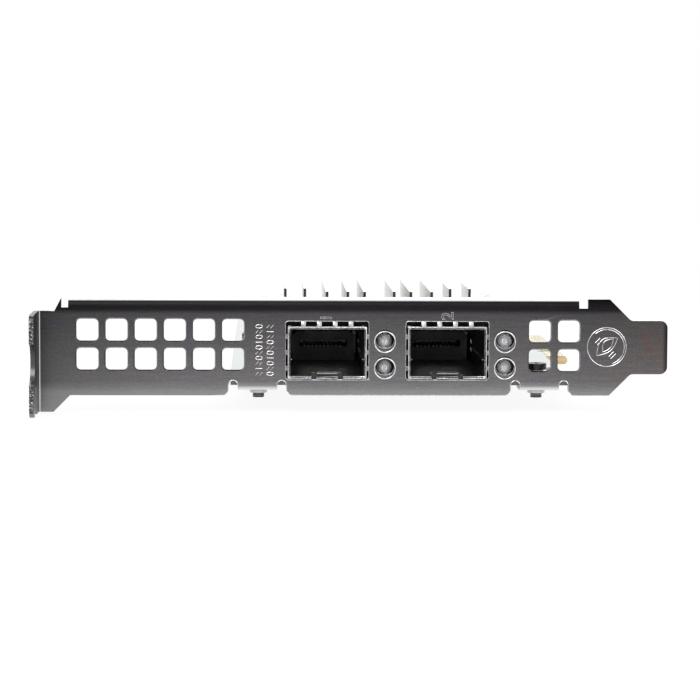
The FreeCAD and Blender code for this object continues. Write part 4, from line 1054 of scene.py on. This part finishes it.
# %% Cages
def cage(node, name):
    piece = copy_of(node, name, cut=True)
    latch_notches(piece, node)
    coat(piece, CAGE_TIN, CAGE_INSIDE_PAINTED_SHADE, LIP_TIN_HIGHLIGHT, LIP_SHADE)
    low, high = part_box(node)
    middle = (low + high) / 2
    centre_z = (low.z + LEGS + high.z) / 2
    # Painted shade: the floor and the faces that look into the cage get the dark inside copy.
    for face in piece.data.polygons:
        inward = ((middle.x - face.center.x) * face.normal.x
                  + (centre_z - face.center.z) * face.normal.z) > 0.5 * MM
        below = face.center.z < low.z + 2.2 * MM
        floor = face.normal.z > 0.7 and face.center.z < high.z - 2 * MM
        if floor or inward and not below:
            face.material_index = 1
    bevel(piece, 0.07 * MM, segments=1, angle=40)
    # At the mouth, bevels get the bright lip copy as painted highlight and flat fronts the dark one
    # as painted shade.
    for face in piece.data.polygons:
        if face.center.y < low.y + 0.08 * MM and face.normal.y < -0.3:
            face.material_index = 2 if face.normal.y > -0.95 else 3
    smooth(piece, 30)
    return ready(piece, "cage_steel")


NUMBERS = ("one", "two")
for number in NUMBERS:
    cage("cage_" + number, "cage_" + number + "_shell")


# %% Guide ribs and tabs on a cage's walls, lip beads, the floor latch and a painted shade block
LATCH_REACH, WALL = 3 * MM, 0.6 * MM


def cage_fittings(node, name):
    low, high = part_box(node)
    middle = (low.x + high.x) / 2
    parts = []
    for side in (-1, 1):
        wall = middle + side * (high.x - low.x - WALL) / 2
        parts.append(soft_block("rib", (wall - side * 0.15 * MM, low.y + 14 * MM, 6.25 * MM),
                                mm(0.4, 25, 0.22), 0.06 * MM, 2))
    run = middle - LATCH_REACH - (low.x + WALL)
    for side in (-1, 1):
        place = (middle + side * (LATCH_REACH + run / 2), low.y + 0.25 * MM, low.z + 2.4 * MM)
        parts.append(soft_block("bead", place, (run, 0.3 * MM, 0.28 * MM), 0.1 * MM, 3))
    for level in (8.2 * MM, 9.7 * MM):
        parts.append(soft_block("tab", (high.x - 0.95 * MM, high.y - 9 * MM, level),
                                mm(0.9, 2.0, 0.75), 0.1 * MM, 2))
    parts.append(soft_block("latch", (middle, low.y + 1.9 * MM, low.z + 3.1 * MM),
                            mm(4.0, 3.2, 0.26), 0.08 * MM, 2))
    assemble(name, parts, 40, "cage_steel", CAGE_TIN)
    # Painted shade: a black block behind the slots beside the latch, which keeps them dark.
    pad = soft_block("pad", (middle, low.y + 1.5 * MM, low.z + LEGS), mm(6.2, 1.7, 1.2),
                     0.15 * MM, 2)
    assemble(name + "_latch_shade_block", [pad], 40, "cage_steel", SHADE_BLACK)


for number in NUMBERS:
    cage_fittings("cage_" + number, "cage_fittings_" + number)


# %% Spring fingers round the cages
def finger_band(node, name):
    piece = copy_of(node, name)
    coat(piece, FINGER_TIN, LIP_TIN_HIGHLIGHT)
    latch_notches(piece, node.replace("springs_", ""))
    bevel(piece, 0.03 * MM, segments=1, angle=40, rim=1)
    smooth(piece, 40)
    return ready(piece, "spring_copper")


for number in NUMBERS:
    finger_band("cage_springs_" + number, "cage_fingers_" + number)


# %% A black frame of painted shade behind the fingers
def shade_frame(node, name):
    """A black frame round a cage, just behind its fingers, that closes the gap: painted shade
    there.
    """
    low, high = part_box(node)
    reach = 1.1 * MM
    top = high.z + 1.5 * MM
    near, deep = low.y + 4.75 * MM, 1.0 * MM
    width = high.x - low.x + 2 * reach
    parts = [block("bar", ((low.x + high.x) / 2, near + deep / 2, (high.z + top) / 2 + 0.03 * MM),
                   (width, deep, top - high.z))]
    for x in (low.x - reach / 2 - 0.03 * MM, high.x + reach / 2 + 0.03 * MM):
        middle = (BOARD_TOP + 0.05 * MM + high.z) / 2
        parts.append(block("bar", (x, near + deep / 2, middle), (reach, deep, high.z - BOARD_TOP)))
    for part in parts:
        bevel(part, 0.12 * MM, 2)
    assemble(name, parts, 40, "cage_steel", SHADE_BLACK)


for number in NUMBERS:
    shade_frame("cage_" + number, "cage_shade_frame_" + number)


# %% Sockets and their contacts
def plain_copy(node, name, slot, material, width, segments=1, angle=35):
    """A copy with broken edges, for parts whose CAD form is already right."""
    piece = coat(copy_of(node, name), material)
    bevel(piece, width, segments, angle)
    smooth(piece, 40, weighted=True)
    return ready(piece, slot)


for number in NUMBERS:
    plain_copy("port_socket_" + number, "socket_body_" + number, "socket_plastic", BLACK_MOULD,
               0.12 * MM, segments=2)
    plain_copy("port_pins_" + number, "socket_contacts_" + number, "pin_gold", PIN_GOLD_PAINTED_SHADE, 0.04 * MM)


# %% [markdown]
# ## Indicator lamps
#
# A lamp is a clear resin cylinder with a domed tip, and its two metal legs run up inside it. A
# cylinder whose front rim is bevelled by nearly its whole radius becomes that dome. Two small
# bright posts at the tips of the legs give two bright upright lines, and their ends come a
# little through the dome.

# %% Lamps
LENS_PROUD = 0.5 * MM


def lamp(node):
    low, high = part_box(node)
    centre = (low + high) / 2
    radius = (high.x - low.x) / 2
    tip = low.y - LENS_PROUD
    lens = rod(node + "_lens", (centre.x, tip, centre.z), high.y - tip, radius, "Y", 40)
    bevel_edges(lens, lambda a, b, angle: max(a.y, b.y) < tip + 0.01 * MM and angle > 60,
                0.93 * radius, 9)
    smooth(lens, 60)
    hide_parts(node)
    ready(lens, "lamp_resin", CLEAR_RESIN)
    frame_parts = []
    for side in (-1, 1):
        tall = 0.66 * MM if side < 0 else 0.54 * MM
        frame_parts += [
            soft_block("post", (centre.x + side * 0.34 * MM, tip + 0.27 * MM, centre.z + 0.05 * MM),
                       (0.2 * MM, 0.5 * MM, tall), 0.06 * MM, 2),
            soft_block("foot", (centre.x + side * 0.4 * MM, tip + 2.9 * MM, centre.z),
                       mm(0.3, 4.0, 0.4), 0.05 * MM, 1)]
    assemble(node + "_leadframe", frame_parts, 40, "lamp_resin", SPRING_TIN)


for node in LAMPS:
    lamp(node)

# %% Lamp holders, lamp legs and bracket screws
for number in NUMBERS:
    plain_copy("lamp_holder_" + number, "lamp_block_" + number, "holder_plastic", BLACK_MOULD,
               0.15 * MM, segments=2)
plain_copy("lamp_leads", "lamp_legs", "lead_tin", TIN, 0.06 * MM)
screws = coat(copy_of("bracket_screws", "bracket_screw_pair"), SCREW_BLACK, SCREW_ZINC, SPRING_TIN)
screw_low, screw_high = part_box("bracket_screws")
bevel_edges(screws, lambda a, b, angle: min(a.z, b.z) > screw_high.z - 0.01 * MM and angle > 80
            and abs(a.x - b.x) + abs(a.y - b.y) < 0.7 * MM, 0.3 * MM, 3)
with editing(screws):
    cut_across("Z", BOARD_TOP + 1.3 * MM)
bevel(screws, 0.1 * MM, 2, 50, clamp=True)
for face in screws.data.polygons:
    height = face.center.z - BOARD_TOP
    face.material_index = 1 if height < -0.1 * MM else 2 if height < 1.25 * MM else 0
smooth(screws, 40)
ready(screws, "screw_steel")
SCREW_AXIS, THREAD_RADIUS, THREAD_WIRE = mm(1.95, 1.0, 0.12)
threads = []
for x in (screw_low.x + SCREW_AXIS, screw_high.x - SCREW_AXIS):
    for turn in range(3):
        place = (x, (screw_low.y + screw_high.y) / 2, screw_low.z + (0.14 + 0.3 * turn) * MM)
        threads.append(ring(place, THREAD_RADIUS, THREAD_WIRE, 0, 28, 8))
assemble("bracket_screw_threads", threads, 60, "screw_steel", SCREW_BLACK)


# %% [markdown]
# ## Heatsink
#
# The heatsink is cut from an extruded bar, so its fins carry fine lines along their length, and
# the ends that look to the front are much darker, with fine marks. Its copy only needs broken
# edges. Two push pins hold it, and each has a coil spring under its cap.

# %% Heatsink and push pins
plain_copy("heatsink", "heatsink_body", "sink_aluminium", SINK_METAL, 0.07 * MM, segments=2,
           angle=50)
plain_copy("heatsink_pins", "push_pins", "pin_nylon", BLACK_MOULD, 0.12 * MM, segments=2,
           angle=45)


# %% Coil springs
def coil(low, high, turns=3.25, wire=0.22 * MM):
    centre = (low + high) / 2
    radius = (high.x - low.x) / 2 - wire
    bpy.ops.object.select_all(action="DESELECT")
    bpy.ops.mesh.primitive_circle_add(vertices=12, radius=wire, rotation=(math.radians(90), 0, 0),
                                      location=(radius, 0, 0))
    piece = bpy.context.object
    bpy.ops.object.transform_apply(location=True, rotation=True, scale=True)
    rise = high.z - low.z - 2 * wire
    sweep = piece.modifiers.new("turns", "SCREW")
    sweep.axis = "Z"
    sweep.angle = math.radians(360)
    sweep.screw_offset = rise / turns
    sweep.iterations = 3
    sweep.steps = 36
    sweep.render_steps = 36
    apply_all(piece)
    with editing(piece):
        bpy.ops.mesh.remove_doubles(threshold=MERGE)
        bpy.ops.mesh.select_all(action="DESELECT")
        bpy.ops.mesh.select_non_manifold()
        bpy.ops.mesh.edge_face_add()
        bpy.ops.mesh.select_all(action="SELECT")
        bpy.ops.mesh.normals_make_consistent(inside=False)
    piece.location = (centre.x, centre.y, low.z + wire)
    only(piece)
    bpy.ops.object.transform_apply(location=True, rotation=True, scale=True)
    return piece


coils = assemble("push_pin_springs", [coil(*box) for box in islands("heatsink_springs")], 60,
                 "spring_steel", SPRING_WIRE)
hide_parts("heatsink_springs")


# %% [markdown]
# ## Circuit board
#
# The board is a sawn and routed sheet, so its copy gets a small broken edge. The solder pads
# under the small parts and the printed outlines round the chips are thin pieces of their own on
# top of it.

# %% Board and edge contacts
plain_copy("circuit_board", "board", "board_laminate", BOARD_MASK, 0.06 * MM, angle=50)
plain_copy("edge_contacts_component_side", "edge_fingers_top", "contact_gold", GOLD, 0.015 * MM)
plain_copy("edge_contacts_solder_side", "edge_fingers_bottom", "contact_gold", GOLD, 0.015 * MM)


# %% Copies of one master in many boxes
def stamp(master, low, high):
    """A copy of a master of unit size, fitted to the box between two corners."""
    size = high - low
    centre = (low + high) / 2
    piece = bpy.data.objects.new("part", master.data.copy())
    scene.collection.objects.link(piece)
    long_y = size.y > size.x
    turn = Matrix.Rotation(math.radians(90), 4, "Z") if long_y else Matrix.Identity(4)
    scale = Matrix.Diagonal((size.y, size.x, size.z, 1) if long_y else (*size, 1))
    piece.data.transform(Matrix.Translation(centre) @ turn @ scale)
    return piece


def fill_boxes(node, name, slot, master, *materials):
    """One piece made of a copy of the master in each solid's box of a CAD node."""
    parts = [stamp(master, low, high) for low, high in islands(node)]
    piece = gather(name, parts)
    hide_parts(node)
    piece.data.materials.clear()
    smooth(piece, 35)
    return ready(piece, slot, *materials)


print("parts on the board:", len(islands("chip_resistors")), "resistors")


# %% [markdown]
# ### Small two-ended parts
#
# Ceramic capacitors and resistors are little bricks with tinned ends. One brick of unit size is
# cut near both ends, its middle is drawn in a little, and its edges are rounded. It is then
# copied into the box of every CAD solid.

# %% Bricks with tinned ends
def brick(name, end, waist, top_only=False):
    piece = block(name, (0, 0, 0), (1, 1, 1))

    def in_waist(face):
        middle = face.calc_center_median()
        between = abs(middle.x) < 0.5 - end and abs(face.normal.x) < 0.5
        face.material_index = 0 if between else 1
        return between and (middle.z > 0 or not top_only)

    with editing(piece):
        cut_across("X", -0.5 + end, 0.5 - end)
    with editing(piece, "DESELECT", "FACE"):
        select_where(piece, "faces", in_waist)
        bpy.ops.mesh.extrude_region_shrink_fatten(TRANSFORM_OT_shrink_fatten={"value": -waist})
    bevel(piece, 0.03, segments=2, angle=40)
    return piece


capacitor_brick = brick("capacitor_brick", 0.22, 0.03)
resistor_brick = brick("resistor_brick", 0.2, 0.06, top_only=True)
fill_boxes("ceramic_capacitors", "ceramic_capacitor_set", "capacitor_ceramic", capacitor_brick,
           CERAMIC_TAN, TIN)
fill_boxes("underside_capacitors", "underside_capacitor_set", "capacitor_ceramic",
           capacitor_brick, CERAMIC_TAN, TIN)
fill_boxes("chip_resistors", "chip_resistor_set", "resistor_film", resistor_brick,
           RESISTOR_FILM, TIN)


# %% Tantalum capacitors with folded terminals and a bar on the positive end
def tantalum_master():
    body = block("tantalum_body", (0, 0, 0.04), (0.9, 1.0, 0.92))
    bevel_edges(body, lambda a, b, angle: min(a.z, b.z) > 0.4, 0.06, 2)
    parts = [coat(body, TANTALUM_RESIN)]
    for side in (-1, 1):
        parts.append(soft_block("terminal", (side * 0.46, 0, -0.2), (0.08, 0.62, 0.6), 0.02, 1,
                                TIN))
    parts.append(soft_block("bar", (-0.32, 0, 0.49), (0.12, 0.84, 0.02), 0.008, 1, FERRITE))
    return gather("tantalum_master", parts)


tantalum = tantalum_master()
fill_boxes("tantalum_capacitors", "tantalum_set", "tantalum_resin", tantalum,
           *tantalum.data.materials)


# %% Power inductors: a pressed ferrite block with a shallow round dish and end plates
def press_dish(piece, rim, depth):
    """Sink the top of a thin disc inside a rim."""
    with editing(piece, "DESELECT", "FACE"):
        select_where(piece, "faces", lambda face: face.normal.z > 0.9)
        bpy.ops.mesh.inset(thickness=rim)
        bpy.ops.transform.translate(value=(0, 0, -depth))


def inductor_master():
    body = block("inductor_body", (0, 0, 0.02), (0.94, 1.0, 0.96))
    bevel_edges(body, lambda a, b, angle: abs(a.z - b.z) > 0.5, 0.09, 3)
    bevel_edges(body, lambda a, b, angle: min(a.z, b.z) > 0.48 and angle > 60, 0.03, 2)
    dish = rod("dish", (0, 0, 0.47), 0.03, 0.36, "Z", 36)
    press_dish(dish, 0.05, 0.02)
    parts = [coat(body, FERRITE), coat(dish, BLACK_MOULD)]
    for side in (-1, 1):
        parts.append(soft_block("plate", (side * 0.48, 0, -0.15), (0.04, 0.5, 0.7), 0.012, 1, TIN))
    return gather("inductor_master", parts)


inductor = inductor_master()
fill_boxes("power_inductors", "power_inductor_set", "inductor_ferrite", inductor,
           *inductor.data.materials)


# %% Electrolytic cans: a rolled groove below, a rounded top with a printed segment
GROOVE, GROOVE_HALF = mm(1.15, 0.25)


def can_piece(low, high):
    centre = (low + high) / 2
    radius = (high.x - low.x) / 2
    can = rod("can", (centre.x, centre.y, low.z), high.z - low.z - 0.02 * MM, radius, "Z", 48)
    top = high.z - 0.03 * MM
    bevel_edges(can, lambda a, b, angle: min(a.z, b.z) > top and angle > 60, 0.35 * MM, 4)
    with editing(can):
        cut_across("Z", *(low.z + GROOVE + way * GROOVE_HALF for way in (-1, 0, 1)))
    with editing(can, "DESELECT", "VERT"):
        select_where(can, "verts",
                     lambda vertex: abs(vertex.co.z - low.z - GROOVE) < 0.05 * MM)
        bpy.ops.transform.resize(value=(0.94, 0.94, 1), center_override=(centre.x, centre.y, 0))
    band = rod("band", (centre.x, centre.y, high.z - 0.02 * MM), 0.02 * MM, 0.86 * radius, "Z", 48)
    with editing(band):
        bpy.ops.mesh.bisect(plane_co=(centre.x + 0.35 * radius, 0, 0), plane_no=(1, 0, 0),
                            clear_inner=True, use_fill=True)
    return gather("can", [coat(can, CAN_METAL), coat(band, PAD_PUTTY)])


cans = assemble("electrolytic_cans", [can_piece(*box) for box in islands("capacitor_cans")], 35,
                "can_aluminium")
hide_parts("capacitor_cans")
plain_copy("capacitor_feet", "can_bases", "holder_plastic", BLACK_MOULD, 0.1 * MM)


# %% [markdown]
# ### Chips
#
# Chips are pressed from black epoxy. Their copies get rounded edges and a shallow dimple that
# marks the first contact. The main chip carries a metal lid on a green laminate.

# %% Chips
def dimple(x, y, z, radius):
    piece = rod("dimple", (x, y, z - 0.04 * MM), 0.055 * MM, radius, "Z", 20)
    press_dish(piece, 0.3 * radius, 0.03 * MM)
    return piece


def chips(node, name, contacts=0, edge=0.1 * MM, mark=0.35 * MM):
    """Chip bodies with a dimple each and, if they have any, tinned contacts along two sides."""
    body = coat(copy_of(node, name), CHIP_MOULD, *([TIN] if contacts else []))
    bevel(body, edge, 2, 40)
    parts = [body]
    for low, high in islands(node):
        parts.append(dimple(low.x + 0.9 * MM, low.y + 0.9 * MM, high.z, mark))
        pitch = (high.y - low.y - 1.0 * MM) / max(contacts - 1, 1)
        for number in range(contacts):
            for x in (low.x, high.x):
                place = (x, low.y + 0.5 * MM + number * pitch, low.z + 0.13 * MM)
                pad = soft_block("contact", place, mm(0.3, 0.3, 0.24), 0.04 * MM, 1,
                                 CHIP_MOULD, TIN)
                for face in pad.data.polygons:
                    face.material_index = 1
                parts.append(pad)
    return assemble(name, parts, 40, "chip_mould")


chips("logic_chips", "logic_chip_pair", 11)
chips("regulator_chips", "regulator_set", 6)
chips("flash_memory", "flash_pair", edge=0.12 * MM, mark=0.4 * MM)
plain_copy("flash_leads", "flash_legs", "lead_tin", TIN, 0.05 * MM)
plain_copy("front_arrays", "front_array_row", "chip_mould", CERAMIC_WHITE, 0.1 * MM)

# %% Main chip, pad and crystal
main_chip = coat(copy_of("controller_chip", "main_chip"), CHIP_LID, CHIP_BASE)
bevel(main_chip, 0.12 * MM, 2, 40)
chip_base_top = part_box("controller_chip")[0].z + 1.0 * MM
for face in main_chip.data.polygons:
    face.material_index = 1 if face.center.z < chip_base_top else 0
smooth(main_chip, 40)
ready(main_chip, "chip_mould")
plain_copy("thermal_pad", "heat_pad", "pad_silicone", PAD_PUTTY, 0.06 * MM, segments=2)
plain_copy("crystal_tray", "crystal_base", "crystal_ceramic", CERAMIC_DARK, 0.08 * MM)
plain_copy("crystal_lid", "crystal_cap", "crystal_metal", LID_METAL, 0.1 * MM, segments=3)


# %% [markdown]
# ### Pads and printed outlines
#
# Solder pads stand out a little round every small part, and a white printed outline frames each
# chip. They are thin plates, and the frames are a plate whose middle is cut out by an inset.

# %% Solder pads
def plate(low, high, grow, level, thick):
    size = ((high.x - low.x) + 2 * grow, (high.y - low.y) + 2 * grow, thick)
    return soft_block("plate", ((low.x + high.x) / 2, (low.y + high.y) / 2, level + thick / 2),
                      size, 0.25 * thick, 1)


pads = []
for node in ("ceramic_capacitors", "chip_resistors", "tantalum_capacitors", "power_inductors"):
    for low, high in islands(node):
        way = 1 if high.y - low.y > high.x - low.x else 0
        reach = 0.3 * (high[way] - low[way])
        for end in (0, 1):
            near, far = low.copy(), high.copy()
            if end == 0:
                far[way] = low[way] + reach
            else:
                near[way] = high[way] - reach
            pads.append(plate(near, far, 0.22 * MM, BOARD_TOP - 0.01 * MM, 0.05 * MM))
pads = gather("solder_pads", pads)
ready(pads, "board_laminate", TIN)


# %% Printed outlines
def outline(low, high, grow, line, level):
    piece = plate(low, high, grow, level, 0.03 * MM)
    with editing(piece, "DESELECT", "FACE"):
        select_where(piece, "faces", lambda face: abs(face.normal.z) > 0.9)
        bpy.ops.mesh.inset(thickness=line, use_even_offset=True)
        bpy.ops.mesh.bridge_edge_loops()
    return piece


prints = [outline(low, high, 0.5 * MM, 0.15 * MM, BOARD_TOP - 0.01 * MM)
          for node in ("logic_chips", "regulator_chips", "flash_memory", "capacitor_feet",
                       "power_inductors", "tantalum_capacitors", "heatsink", "crystal_tray")
          for low, high in islands(node)]
prints = gather("printed_outlines", prints)
ready(prints, "board_laminate", SILK_WHITE)


# %% [markdown]
# ## Finish
#
# Masters of the small parts are only patterns, so they are removed.

# %% Remove the masters
for master in (capacitor_brick, resistor_brick, tantalum, inductor):
    bpy.data.objects.remove(master)
